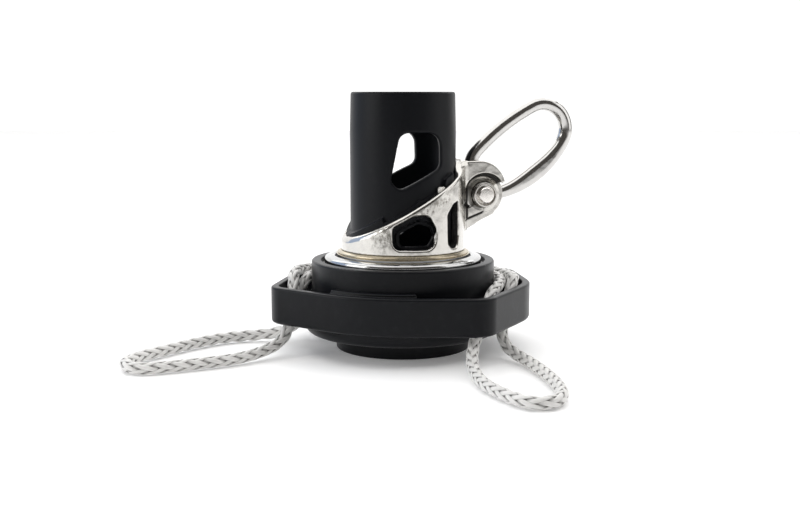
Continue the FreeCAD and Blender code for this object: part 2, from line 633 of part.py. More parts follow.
def retaining_ring_z():
    """Bottom of the wire ring that keeps the sleeve from lifting out."""
    return LOWER_RACE_Z + RUN_GAP - 1.4


def make_sleeve_retaining_ring():
    z_low = retaining_ring_z() + 0.05
    body = ring(SLEEVE_R - 0.75, SLEEVE_R + 1.2, z_low, z_low + 1.2)
    return body.cut(sector(SLEEVE_R + 3, 180, 8, z_low - 1, z_low + 3))


def make_shackle_pin():
    """Clevis pin with chamfered ends."""
    pin = cross_cylinder(PIN_R, -PIN_HALF_LENGTH, PIN_HALF_LENGTH)
    ends = [edge for edge in pin.Edges if edge.BoundBox.YLength < 1e-4]
    return pin.makeChamfer(PIN_CHAMFER, ends)


def make_pin_collar(side):
    """Collar pressed on the pin's end against the ear's boss, countersunk outside."""
    low = BOSS_FACE_Y
    collar = cross_cylinder(COLLAR_R, low, low + COLLAR_THICKNESS)
    rim = [edge for edge in collar.Edges if abs(edge.BoundBox.YMin - low - COLLAR_THICKNESS) < 1e-4]
    collar = collar.makeFillet(0.5, rim)
    collar = collar.cut(cross_cylinder(PIN_R + PIN_FIT / 2, 0, 20))
    sink_place = Vector(PIN_X, low + COLLAR_THICKNESS - COLLAR_SINK, PIN_Z)
    sink = Part.makeCone(PIN_R, PIN_R + COLLAR_SINK, COLLAR_SINK, sink_place, AXIS_Y)
    collar = collar.cut(sink)
    return collar if side > 0 else collar.mirror(ORIGIN, AXIS_Y)


def link_path():
    """Centre line of the link: two end arcs joined by two long side arcs, all tangent."""
    pin = Vector(PIN_X, 0, PIN_Z)
    tip = pin + Vector(LINK_TIP_REACH, 0, LINK_TIP_RISE)
    root = pin + Vector(LINK_ROOT_REACH, 0, LINK_ROOT_RISE)
    along = (tip - root).normalize()
    upwards = Vector(-along.z, 0, along.x)
    half = (tip - root).Length / 2
    middle = (tip + root) * 0.5
    sides = {}
    for name, sign, bow in (("upper", 1, LINK_UPPER_BOW), ("lower", -1, LINK_LOWER_BOW)):
        excess = (half * half + bow * bow) / (2 * bow)
        side_r = excess + LINK_END_R
        centre = middle - upwards * (sign * (excess - bow))
        sides[name] = (
            centre + (root - centre).normalize() * side_r,
            middle + upwards * (sign * (LINK_END_R + bow)),
            centre + (tip - centre).normalize() * side_r)
    upper_root, upper_middle, upper_tip = sides["upper"]
    lower_root, lower_middle, lower_tip = sides["lower"]
    return Part.Wire([
        Part.Arc(upper_root, upper_middle, upper_tip).toShape(),
        Part.Arc(upper_tip, tip + along * LINK_END_R, lower_tip).toShape(),
        Part.Arc(lower_tip, lower_middle, lower_root).toShape(),
        Part.Arc(lower_root, root - along * LINK_END_R, upper_root).toShape()])


def make_halyard_link():
    path = link_path()
    start = path.Edges[0].valueAt(path.Edges[0].FirstParameter)
    direction = path.Edges[0].tangentAt(path.Edges[0].FirstParameter)
    section = Part.Wire(Part.makeCircle(LINK_BAR_R, start, direction))
    bar = path.makePipeShell([section], True, True)
    half = LINK_EYE_WIDTH / 2
    eye = cross_cylinder(LINK_EYE_R, -half, half)
    eye = eye.makeFillet(LINK_EYE_EDGE_R, [edge for edge in eye.Edges if edge.BoundBox.YLength < 1e-4])
    hole = cross_cylinder(PIN_HOLE_R + LINK_BUSH_WALL, -20, 20)
    return bar.fuse(eye).cut(hole).removeSplitter()


def make_link_bush():
    half = LINK_EYE_WIDTH / 2 + LINK_BUSH_STAND
    bush = cross_cylinder(PIN_HOLE_R + LINK_BUSH_WALL - PIN_FIT / 2, -half, half)
    return bush.cut(cross_cylinder(PIN_HOLE_R, -20, 20))


# Route of the strop's centre line in the band's own frame, chosen by hand from how it lies.
# Splice behind the cup, right slot, right loop on the floor, back up and round behind the cup,
# left slot, left loop, and up again to the splice.
STROP_ROUTE = [
    (0.3, 52.8, 31.9), (9.5, 52.7, 31.9), (20.8, 49.9, 31.6), (32.0, 42.8, 31.4), (42.2, 31.9, 31.6),
    (49.0, 18.4, 32.3), (52.0, 6.0, 33.9), (51.0, -0.5, 25.5), (49.6, -6.5, 14.0), (51.8, -12.0, 7.0),
    (58.0, -16.0, 3.4), (66.0, -25.6, 2.95), (74.6, -39.5, 2.95), (81.5, -52.0, 2.95),
    (87.0, -64.0, 2.95), (91.5, -76.5, 2.95), (91.3, -89.0, 2.95), (82.5, -94.5, 2.95),
    (72.0, -87.0, 2.95), (61.0, -75.5, 2.95), (53.0, -62.0, 2.95), (46.6, -47.5, 4.6),
    (43.8, -35.5, 9.6), (45.4, -23.0, 20.5), (45.8, -13.5, 29.0), (46.4, 1.0, 31.2),
    (43.7, 16.0, 31.35), (36.5, 28.9, 31.35), (25.7, 38.9, 31.35), (12.8, 44.8, 31.35),
    (-1.5, 46.6, 31.35), (-15.8, 43.8, 31.35), (-28.4, 36.9, 31.35), (-38.3, 26.3, 31.35),
    (-44.7, 12.8, 31.35), (-46.3, -1.5, 31.4), (-45.2, -10.2, 31.6), (-46.4, -14.8, 26.2),
    (-48.1, -13.2, 18.5), (-48.6, -12.4, 11.0), (-53.5, -12.0, 6.4), (-62.0, -12.2, 4.0),
    (-72.0, -15.5, 2.95), (-81.5, -23.5, 2.95), (-88.0, -35.5, 2.95), (-92.5, -49.0, 2.95),
    (-95.8, -60.8, 2.95), (-100.1, -73.7, 2.95), (-98.9, -88.0, 2.95), (-87.4, -94.0, 2.95),
    (-76.7, -84.6, 2.95), (-66.5, -74.5, 2.95), (-56.0, -62.5, 2.95), (-49.5, -49.0, 3.8),
    (-44.8, -38.5, 7.0), (-43.9, -30.5, 15.5), (-45.3, -25.0, 27.0), (-48.4, -18.0, 34.3),
    (-51.6, -6.5, 34.9), (-52.0, 6.5, 33.6), (-49.2, 19.5, 32.0), (-42.2, 31.9, 31.5),
    (-32.0, 42.8, 31.4), (-20.8, 49.9, 31.6), (-9.5, 52.7, 31.9), (-0.3, 52.8, 31.9)]


def cord_tube(points, radius):
    """Round tube along straight runs joined by tangent arcs; prints the arcs' radii."""
    edges = []
    radii = []
    last = points[0]
    for i in range(1, len(points) - 1):
        here = points[i]
        back = points[i - 1] - here
        ahead = points[i + 1] - here
        half_turn = (math.pi - back.getAngle(ahead)) / 2
        reach = 0.45 * min(back.Length, ahead.Length)
        arc_r = reach / math.tan(half_turn)
        radii.append(round(arc_r, 1))
        back.normalize()
        ahead.normalize()
        entry = here + back * reach
        exit_point = here + ahead * reach
        bisector = (back + ahead).normalize()
        centre = here + bisector * (arc_r / math.cos(half_turn))
        edges.append(Part.LineSegment(last, entry).toShape())
        edges.append(Part.Arc(entry, centre - bisector * arc_r, exit_point).toShape())
        last = exit_point
    edges.append(Part.LineSegment(last, points[-1]).toShape())
    path = Part.Wire(edges)
    section = Part.Wire(Part.makeCircle(radius, points[0], points[1] - points[0]))
    tube = path.makePipeShell([section], True, False)
    print("arc radii", radii)
    print("length", round(path.Length, 1), "volume ratio",
          round(tube.Volume / (math.pi * radius * radius * path.Length), 4))
    return tube


def make_strop():
    """The strop's line, turned from the band's frame into the object's."""
    line = cord_tube([Vector(*p) for p in STROP_ROUTE], STROP_R)
    line.rotate(ORIGIN, AXIS_Z, BAND_TURN)
    return line


def make_strop_whipping():
    """Twine whipped round the splice where the two ends of the line meet."""
    start = Vector(*STROP_ROUTE[0])
    low = Vector(-WHIPPING_LENGTH / 2, start.y, start.z)
    along = Vector(1, 0, 0)
    outer = Part.makeCylinder(STROP_R + WHIPPING_WALL, WHIPPING_LENGTH, low, along)
    outer = outer.makeFillet(0.3, [e for e in outer.Edges if e.BoundBox.XLength < 1e-4])
    sleeve = outer.cut(Part.makeCylinder(STROP_R + 0.05, WHIPPING_LENGTH, low, along))
    sleeve.rotate(ORIGIN, AXIS_Z, BAND_TURN)
    return sleeve


def make_all():
    shapes = {
        "swivel_housing": make_swivel_housing(),
        "strop_band": make_strop_band(),
        "base_ring": make_base_ring(),
        "base_ring_screws": make_base_ring_screws(),
        "lower_seal": make_lower_seal(),
        "lower_outer_race": outer_race(LOWER_RACE_Z, "bottom"),
        "outer_race_spacer": ring(OUTER_SHOULDER_R, CUP_BORE_R - SLIDE_FIT,
                                  RACE_SPACER_Z, UPPER_RACE_Z),
        "upper_outer_race": outer_race(UPPER_RACE_Z, "top"),
        "top_ring": make_top_ring(),
        "top_circlip": make_top_circlip(),
        "upper_seal": make_upper_seal(),
        "lower_balls": make_balls(LOWER_BALL_Z),
        "lower_ball_cage": make_cage(LOWER_BALL_Z),
        "upper_balls": make_balls(UPPER_BALL_Z),
        "upper_ball_cage": make_cage(UPPER_BALL_Z),
        "inner_race_sleeve": make_inner_race_sleeve(),
        "upper_inner_race": make_upper_inner_race(),
        "inner_spacer": make_inner_spacer(),
        "wear_ring": make_wear_ring(),
        "halyard_saddle": make_halyard_saddle(),
        "halyard_clevis": make_halyard_clevis(),
        "guide_sleeve": make_guide_sleeve(),
        "sleeve_retaining_ring": make_sleeve_retaining_ring(),
        "shackle_pin": make_shackle_pin(),
        "pin_collar_front": make_pin_collar(-1),
        "pin_collar_rear": make_pin_collar(1),
        "halyard_link": make_halyard_link(),
        "link_bush": make_link_bush(),
    }
    shapes["strop"] = make_strop()
    shapes["strop_whipping"] = make_strop_whipping()
    return shapes


os.makedirs("parts", exist_ok=True)
for name, shape in make_all().items():
    shape.exportStep("parts/" + name + ".step")
    solids = shape.Solids
    print(name, len(solids), "solids", round(sum(s.Volume for s in solids), 1), "mm3",
          "valid" if shape.isValid() else "NOT VALID")
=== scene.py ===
"""Halyard swivel for a jib furler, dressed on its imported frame.

Shapes are worked out in millimetres in the object's own frame, where +Z is the bore and +X points
to the clevis, and are scaled to metres when their mesh is made.
"""
import functools
import math
import bpy
import numpy as np
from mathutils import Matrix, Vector


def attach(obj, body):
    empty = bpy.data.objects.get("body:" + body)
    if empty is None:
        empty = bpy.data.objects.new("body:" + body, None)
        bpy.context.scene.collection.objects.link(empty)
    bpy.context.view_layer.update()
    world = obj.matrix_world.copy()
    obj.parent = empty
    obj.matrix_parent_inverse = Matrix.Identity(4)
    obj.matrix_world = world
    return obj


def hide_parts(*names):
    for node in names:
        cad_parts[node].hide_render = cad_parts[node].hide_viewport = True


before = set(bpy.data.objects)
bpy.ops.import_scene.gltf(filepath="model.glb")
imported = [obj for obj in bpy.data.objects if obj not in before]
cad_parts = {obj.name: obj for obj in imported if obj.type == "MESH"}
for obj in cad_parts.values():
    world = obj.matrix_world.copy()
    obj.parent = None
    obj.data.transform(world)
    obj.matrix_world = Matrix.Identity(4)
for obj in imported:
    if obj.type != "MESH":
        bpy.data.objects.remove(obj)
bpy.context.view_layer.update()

MM = 0.001

# Sizes shared with the part's source, in millimetres
LUFF_BORE_R = 21.5
SLEEVE_R = 24.6
SLEEVE_TOP_Z = 119.5
SLEEVE_TAPER = 0.4
SLEEVE_TAPER_HEIGHT = 17.0
SADDLE_BORE_R = 24.7
SPIGOT_R = 26.1
SPIGOT_LOW_Z = 38.6
FOOT_R = 29.0
FOOT_Z = 46.6
RIM_R = 28.5
RIM_MID_Z = 68.8
SLOPE = math.radians(30.1)
PIN_X = 37.4
PIN_Z = 71.6
PIN_R = 3.7
PIN_HALF = 11.8
PIN_HOLE_R = 3.75
EAR_R = 10.4
EAR_TOP_Z = 87.5
EAR_ROOT_X = 18.7
EAR_INNER_Y = 4.1
EAR_FACE_Y = 6.6
HOOD_FACE_Y = 9.5
HOOD_R = 12.8
HOOD_X = 35.0
BOSS_FACE_Y = 9.0
COLLAR_R = 5.8
COLLAR_OUT_Y = 10.6
LINK_BAR_R = 3.3
LINK_END_R = 12.0
LINK_TIP = (69.5, 101.8)
LINK_ROOT = (45.2, 83.8)
LINK_BOWS = (1.3, 3.6)
LINK_EYE_R = 8.3
LINK_EYE_HALF = 3.7
LINK_EYE_BORE_R = 5.0
STROP_R = 2.9
BAND_TURN = math.radians(-34.2)
BAND_LOW_Z = 14.4
BAND_TOP_Z = 31.4
BAND_WALL = 3.6
BODY_R = 46.3
FRONT_WEB_TURN = math.radians(26.0)
REAR_WEB_TURN = math.radians(130.0)
FRONT_WEB_DROP = 0.6
FRONT_LEDGE_RISE = 0.9
REAR_WEB_DROP = 3.0

# Sizes of the finer forms, in millimetres
EAR_LINE_X = 29.6
EAR_RELIEF_Y = 5.1
BELL_R = 8.5
BELL_NECK_R = 5.95
SHOULDER_FALL = 0.95
REBATE_WIDTH = 1.85
REBATE_DEPTH = 1.4
WALL_EDGE_R = 1.7
CLEVIS_FILLET_R = 2.6
WINDOW_EDGE_R = 0.95
SLOT_EDGE_R = 0.85
FINE_EDGE_R = 0.35
LIP_R = 26.45
LIP_NOTCH = (21.0, 31.0)
SLEEVE_CUT_Z = 39.0
BORDER_GAP = 1.9
WEB_EDGE_R = 0.8
INSIDE_CUP_R = 40.7
LINK_THICKER = 2.1
LINK_FILLET_R = 2.5

# Wall openings: (degrees past -Y, height, corner radius)
SADDLE_WINDOW = [
    (-24.5, 49.2, 3.6), (14.0, 49.2, 4.4), (16.0, 58.0, 4.6),
    (8.0, 64.8, 4.2), (-6.0, 64.4, 3.4), (-25.0, 59.2, 3.0)]
SADDLE_SLOT = [
    (30.0, 51.4, 2.5), (34.8, 48.9, 2.5), (43.8, 48.9, 2.5), (46.8, 54.0, 3.0),
    (47.0, 70.3, 1.2), (37.5, 68.9, 3.0), (29.5, 64.5, 3.0)]
SLEEVE_UPPER_WINDOW = [
    (-18.0, 101.2, 4.5), (27.5, 101.2, 6.4), (28.5, 85.7, 4.5), (-18.5, 75.6, 3.4),
    (-28.0, 79.5, 3.2)]
SLEEVE_LOWER_WINDOW = [
    (-19.0, 50.4, 2.5), (12.5, 50.4, 3.0), (19.0, 54.0, 2.5), (15.0, 58.6, 2.0),
    (0.5, 60.6, 3.0), (-19.5, 56.2, 2.0)]

# Plan of the strop band's right half in its own frame, front to back: (x, y, corner radius)
BAND_PLAN = [(52.2, -38.4, 12.0), (60.2, 12.5, 38.0), (40.5, 52.4, 14.0)]

# The strop's route in the band's own frame, the control points of its line
STROP_ROUTE = [
    (0.3, 52.8, 31.9), (9.5, 52.7, 31.9), (20.8, 49.9, 31.6), (32.0, 42.8, 31.4),
    (42.2, 31.9, 31.6), (49.0, 18.4, 32.3), (52.0, 6.0, 33.9), (51.0, -0.5, 25.5),
    (49.6, -6.5, 14.0), (51.8, -12.0, 7.0), (58.0, -16.0, 3.4), (66.0, -25.6, 2.95),
    (74.6, -39.5, 2.95), (81.5, -52.0, 2.95), (87.0, -64.0, 2.95), (91.5, -76.5, 2.95),
    (91.3, -89.0, 2.95), (82.5, -94.5, 2.95), (72.0, -87.0, 2.95), (61.0, -75.5, 2.95),
    (53.0, -62.0, 2.95), (46.6, -47.5, 4.6), (43.8, -35.5, 9.6), (45.4, -23.0, 20.5),
    (45.8, -13.5, 29.0), (46.4, 1.0, 31.2), (43.7, 16.0, 31.35), (36.5, 28.9, 31.35),
    (25.7, 38.9, 31.35), (12.8, 44.8, 31.35), (-1.5, 46.6, 31.35), (-15.8, 43.8, 31.35),
    (-28.4, 36.9, 31.35), (-38.3, 26.3, 31.35), (-44.7, 12.8, 31.35), (-46.3, -1.5, 31.4),
    (-45.2, -10.2, 31.6), (-46.4, -14.8, 26.2), (-48.1, -13.2, 18.5), (-48.6, -12.4, 11.0),
    (-53.5, -12.0, 6.4), (-62.0, -12.2, 4.0), (-72.0, -15.5, 2.95), (-81.5, -23.5, 2.95),
    (-88.0, -35.5, 2.95), (-92.5, -49.0, 2.95), (-95.8, -60.8, 2.95), (-100.1, -73.7, 2.95),
    (-98.9, -88.0, 2.95), (-87.4, -94.0, 2.95), (-76.7, -84.6, 2.95), (-66.5, -74.5, 2.95),
    (-56.0, -62.5, 2.95), (-49.5, -49.0, 3.8), (-44.8, -38.5, 7.0), (-43.9, -30.5, 15.5),
    (-45.3, -25.0, 27.0), (-48.4, -18.0, 34.3), (-51.6, -6.5, 34.9), (-52.0, 6.5, 33.6),
    (-49.2, 19.5, 32.0), (-42.2, 31.9, 31.5), (-32.0, 42.8, 31.4), (-20.8, 49.9, 31.6),
    (-9.5, 52.7, 31.9), (-0.3, 52.8, 31.9)]


def turned_plan(angle, x, y):
    """Plan place turned about Z by an angle: x cos a - y sin a and x sin a + y cos a."""
    c, s = math.cos(angle), math.sin(angle)
    return x * c - y * s, x * s + y * c


def in_scene(name, data):
    """New object of the scene that shows the given mesh, curve, light or camera."""
    made = bpy.data.objects.new(name, data)
    bpy.context.scene.collection.objects.link(made)
    return made


def dress(piece, material):
    """Gives a piece its material in place of any that it has."""
    piece.data.materials.clear()
    piece.data.materials.append(material)


def keep_values(piece, name, values):
    """One value for each point of the piece, kept under a name that a material reads."""
    layer = piece.data.attributes.new(name, "FLOAT", "POINT")
    layer.data.foreach_set("value", values.astype(np.float32))


def add_piece(name, body, slot, material, points, faces, replaced, normals=None,
              sharp_degrees=None, lay=None):
    """Mesh object from points in millimetres and faces, dressed, and riding on its body.

    lay is one pair per point, kept as the map named lay, for patterns that follow the piece.
    """
    mesh = bpy.data.meshes.new(name)
    mesh.from_pydata((points * MM).tolist(), [], faces.tolist())
    mesh.shade_smooth()
    if lay is not None:
        corners = np.empty(len(mesh.loops), np.int32)
        mesh.loops.foreach_get("vertex_index", corners)
        layer = mesh.uv_layers.new(name="lay")
        layer.data.foreach_set("uv", lay[corners].astype(np.float32).ravel())
    if sharp_degrees is not None:
        mesh.set_sharp_from_angle(angle=math.radians(sharp_degrees))
    if normals is not None:
        mesh.normals_split_custom_set_from_vertices(normals.tolist())
    piece = in_scene(name, mesh)
    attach(piece, body)
    if replaced:
        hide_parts(*replaced)
    dress(piece, material)
    return piece


def grid_faces(rows, columns, closed=True):
    """Four-sided faces of a grid whose rows are rings of points, the last joined to the first."""
    i = np.repeat(np.arange(rows if closed else rows - 1), columns)
    j = np.tile(np.arange(columns), len(i) // columns)
    row, next_row, after = i * columns, (i + 1) % rows * columns, (j + 1) % columns
    return np.stack([row + j, next_row + j, next_row + after, row + after], 1)


def tube_faces(rows, columns):
    """Faces of a closed tube: its grid of points, and strips of faces across its two end rings."""
    i = np.arange(columns // 2 - 1)
    cap = np.stack([i, i + 1, columns - 2 - i, columns - 1 - i], 1)
    return np.concatenate([
        grid_faces(rows, columns, closed=False), cap, cap[:, ::-1] + (rows - 1) * columns])


def soften(corners, steps=7):
    """Closed outline through corners (a, b, radius), each corner turned on its own arc.

    An arc's centre lies on the line that halves its corner, radius / sin(half angle) away.
    """
    points = []
    corners = np.array(corners, float)
    places, radii = corners[:, :2], corners[:, 2]
    before, after = np.roll(places, 1, 0), np.roll(places, -1, 0)
    for here, back, ahead, radius in zip(places, before - places, after - places, radii):
        if radius <= 0:
            points.append(here)
            continue
        back /= np.linalg.norm(back)
        ahead /= np.linalg.norm(ahead)
        half = math.acos(back @ ahead) / 2
        middle = (back + ahead) / np.linalg.norm(back + ahead)
        centre = here + middle * radius / math.sin(half)
        first = here + back * radius / math.tan(half) - centre
        last = here + ahead * radius / math.tan(half) - centre
        start = math.atan2(first[1], first[0])
        sweep = (math.atan2(last[1], last[0]) - start + math.pi) % math.tau - math.pi
        for angle in start + sweep * np.linspace(0, 1, steps):
            points.append(centre + radius * np.array([math.cos(angle), math.sin(angle)]))
    return np.array(points)


def turned(profile, segments=256):
    """Profile points (r, z) turned about Z: x = r cos t, y = r sin t for even steps of t."""
    t = np.linspace(0, math.tau, segments, endpoint=False)[:, None]
    r, z = profile[:, 0], profile[:, 1]
    points = np.stack([r * np.cos(t), r * np.sin(t), z + 0 * t], 2)
    return points.reshape(-1, 3), grid_faces(segments, len(profile))


def turned_on_pin(profile, side):
    """Profile points (r, y) turned about the clevis pin's axis, at the front (-1) or rear (1)."""
    points, faces = turned(profile, 96)
    x, z, along = points.T
    points = np.stack([PIN_X + x, side * along, PIN_Z + z], 1)
    return points, faces if side < 0 else faces[:, ::-1]


def shared(*fields):
    """What several fields share, with sharp edges: the largest of them at each place."""
    return functools.reduce(np.maximum, fields)


def round_join(a, b, radius):
    """Two fields joined, with a hollow fillet of that radius where they meet."""
    corner = np.hypot(np.maximum(radius - a, 0), np.maximum(radius - b, 0))
    return np.maximum(radius, np.minimum(a, b)) - corner


def round_meet(a, b, radius):
    """What two fields share, with the edge between them rounded to that radius."""
    corner = np.hypot(np.maximum(radius + a, 0), np.maximum(radius + b, 0))
    return np.minimum(-radius, np.maximum(a, b)) + corner


def without(a, cut, radius):
    """The first field with the cut taken out, and the cut's edges rounded."""
    return round_meet(a, -cut, radius)


class FlatShape:
    """Signed distance to a closed flat outline, negative inside, read from a fine table."""

    def __init__(self, outline, margin=9.0, step=0.15):
        self.step = step
        self.low = outline.min(0) - margin
        high = outline.max(0) + margin
        u = np.arange(self.low[0], high[0] + step, step)[:, None]
        v = np.arange(self.low[1], high[1] + step, step)[None, :]
        nearest = np.full((u.size, v.size), 1e9)
        inside = np.zeros(nearest.shape, bool)
        for p, q in zip(outline, np.roll(outline, -1, 0)):
            eu, ev = q - p
            length = eu * eu + ev * ev
            if length < 1e-12:
                continue
            share = np.clip(((u - p[0]) * eu + (v - p[1]) * ev) / length, 0, 1)
            away = (u - p[0] - eu * share) ** 2 + (v - p[1] - ev * share) ** 2
            nearest = np.minimum(nearest, away)
            if abs(ev) > 1e-12:
                inside ^= ((p[1] <= v) != (q[1] <= v)) & (u < p[0] + eu * (v - p[1]) / ev)
        self.table = np.where(inside, -1.0, 1.0) * np.sqrt(nearest)

    def __call__(self, u, v):
        table = self.table
        a = np.clip((u - self.low[0]) / self.step, 0, table.shape[0] - 1.001)
        b = np.clip((v - self.low[1]) / self.step, 0, table.shape[1] - 1.001)
        i, j = a.astype(np.int32), b.astype(np.int32)
        a, b = a - i, b - j
        low = table[i, j] * (1 - b) + table[i, j + 1] * b
        high = table[i + 1, j] * (1 - b) + table[i + 1, j + 1] * b
        return low * (1 - a) + high * a


class WallOpening:
    """Opening drawn flat, square to its middle direction, and cut straight through one wall."""

    def __init__(self, corners, wall_r):
        angles = [corner[0] for corner in corners]
        middle = (min(angles) + max(angles)) / 2
        self.turn = math.radians(middle)
        self.depth = wall_r * 0.55
        self.shape = FlatShape(soften([
            (wall_r * math.sin(math.radians(angle - middle)), z, radius)
            for angle, z, radius in corners]))

    def __call__(self, x, y, z):
        across, inwards = turned_plan(-self.turn, x, y)
        return np.maximum(self.shape(across, z), inwards + self.depth)


def slope_of(field, points, reach=0.02):
    """Direction in which a field grows fastest at each point."""
    slope = np.empty_like(points)
    for k in range(3):
        ahead, behind = points.copy(), points.copy()
        ahead[:, k] += reach
        behind[:, k] -= reach
        slope[:, k] = (field(*ahead.T) - field(*behind.T)) / (2 * reach)
    return slope


def surface_of(field, low, high, step, shading=None):
    """Closed surface where a field is zero, shaded by the slope of another field if one is given.

    Each cell of a grid that the surface crosses holds one point, the mean of the crossings on the
    cell's edges. Faces join the four cells round each crossed grid edge, and every point is then
    drawn along the field's slope until it lies on the surface.
    """
    axes = [np.arange(low[k], high[k] + step, step) for k in range(3)]
    values = field(axes[0][:, None, None], axes[1][None, :, None], axes[2][None, None, :])
    inside = values < 0
    crossed = np.zeros(tuple(n - 1 for n in values.shape), np.int8)
    corners = [(a, b, c) for a in (0, 1) for b in (0, 1) for c in (0, 1)]
    nx, ny, nz = crossed.shape
    for a, b, c in corners:
        crossed += inside[a:a + nx, b:b + ny, c:c + nz]
    cells = np.argwhere((crossed > 0) & (crossed < 8))
    number = np.full(crossed.shape, -1, np.int64)
    number[tuple(cells.T)] = np.arange(len(cells))
    total = np.zeros((len(cells), 3))
    count = np.zeros(len(cells))
    for first in corners:
        for k in range(3):
            if first[k]:
                continue
            second = list(first)
            second[k] = 1
            a = values[tuple((cells + first).T)]
            b = values[tuple((cells + second).T)]
            hit = (a < 0) != (b < 0)
            share = a[hit] / (a[hit] - b[hit])
            place = np.tile(np.array(first, float), (hit.sum(), 1))
            place[:, k] += share
            total[hit] += place
            count[hit] += 1
    origin = np.array([axis[0] for axis in axes])
    points = origin + step * (cells + total / count[:, None])
    faces = []
    for k in range(3):
        u, v = [(1, 2), (2, 0), (0, 1)][k]
        edges = np.argwhere(np.diff(inside, axis=k))
        keep = (edges[:, u] > 0) & (edges[:, v] > 0)
        keep &= (edges[:, u] < crossed.shape[u]) & (edges[:, v] < crossed.shape[v])
        edges = edges[keep]
        around = []
        for du, dv in ((-1, -1), (0, -1), (0, 0), (-1, 0)):
            cell = edges.copy()
            cell[:, u] += du
            cell[:, v] += dv
            around.append(number[tuple(cell.T)])
        quad = np.stack(around, 1)
        outwards = inside[tuple(edges.T)]
        faces.append(np.where(outwards[:, None], quad, quad[:, ::-1]))
    for _ in range(4):
        slope = slope_of(field, points)
        size = np.maximum((slope ** 2).sum(1), 0.05)
        move = -(field(*points.T) / size)[:, None] * slope
        length = np.linalg.norm(move, axis=1, keepdims=True)
        points = points + move * np.minimum(1, 0.4 * step / np.maximum(length, 1e-9))
    slope = slope_of(shading or field, points, 0.05)
    normals = slope / np.maximum(np.linalg.norm(slope, axis=1, keepdims=True), 1e-9)
    return points, np.concatenate(faces), normals


def above_rim(x, z):
    """Distance above the saddle's slanted rim plane."""
    return (z - RIM_MID_Z - math.tan(SLOPE) * x) * math.cos(SLOPE)


saddle_window = WallOpening(SADDLE_WINDOW, FOOT_R)
saddle_slot = WallOpening(SADDLE_SLOT, FOOT_R)
tangent_x = PIN_X + EAR_R * math.sin(SLOPE)
tangent_z = PIN_Z - EAR_R * math.cos(SLOPE)
ear_web = FlatShape(np.array([
    (EAR_ROOT_X, tangent_z - (tangent_x - EAR_ROOT_X) * math.tan(SLOPE)), (tangent_x, tangent_z),
    (PIN_X, PIN_Z + EAR_R / 2), (EAR_ROOT_X, EAR_TOP_Z)]))
hood_z = EAR_TOP_Z - HOOD_R
hood_arc = [(HOOD_X + HOOD_R * math.sin(a), hood_z + HOOD_R * math.cos(a))
            for a in np.linspace(0, math.radians(77), 25)]
hood_side = FlatShape(np.array(
    [(EAR_ROOT_X, PIN_Z - 4), (EAR_ROOT_X, EAR_TOP_Z)] + hood_arc + [(PIN_X, PIN_Z)]))
ear_rib = FlatShape(np.array([
    (EAR_ROOT_X, 57.0), (28.6, 60.4), (37.4, 63.8), (37.4, 68.0), (30.5, 65.6),
    (EAR_ROOT_X, 64.5)]))

def notch_side(turn):
    """Distance to the sides of the notch in the sleeve's lip, negative inside it."""
    first, last = LIP_NOTCH
    return (np.abs(turn - (first + last) / 2) - (last - first) / 2) * math.radians(26.0)


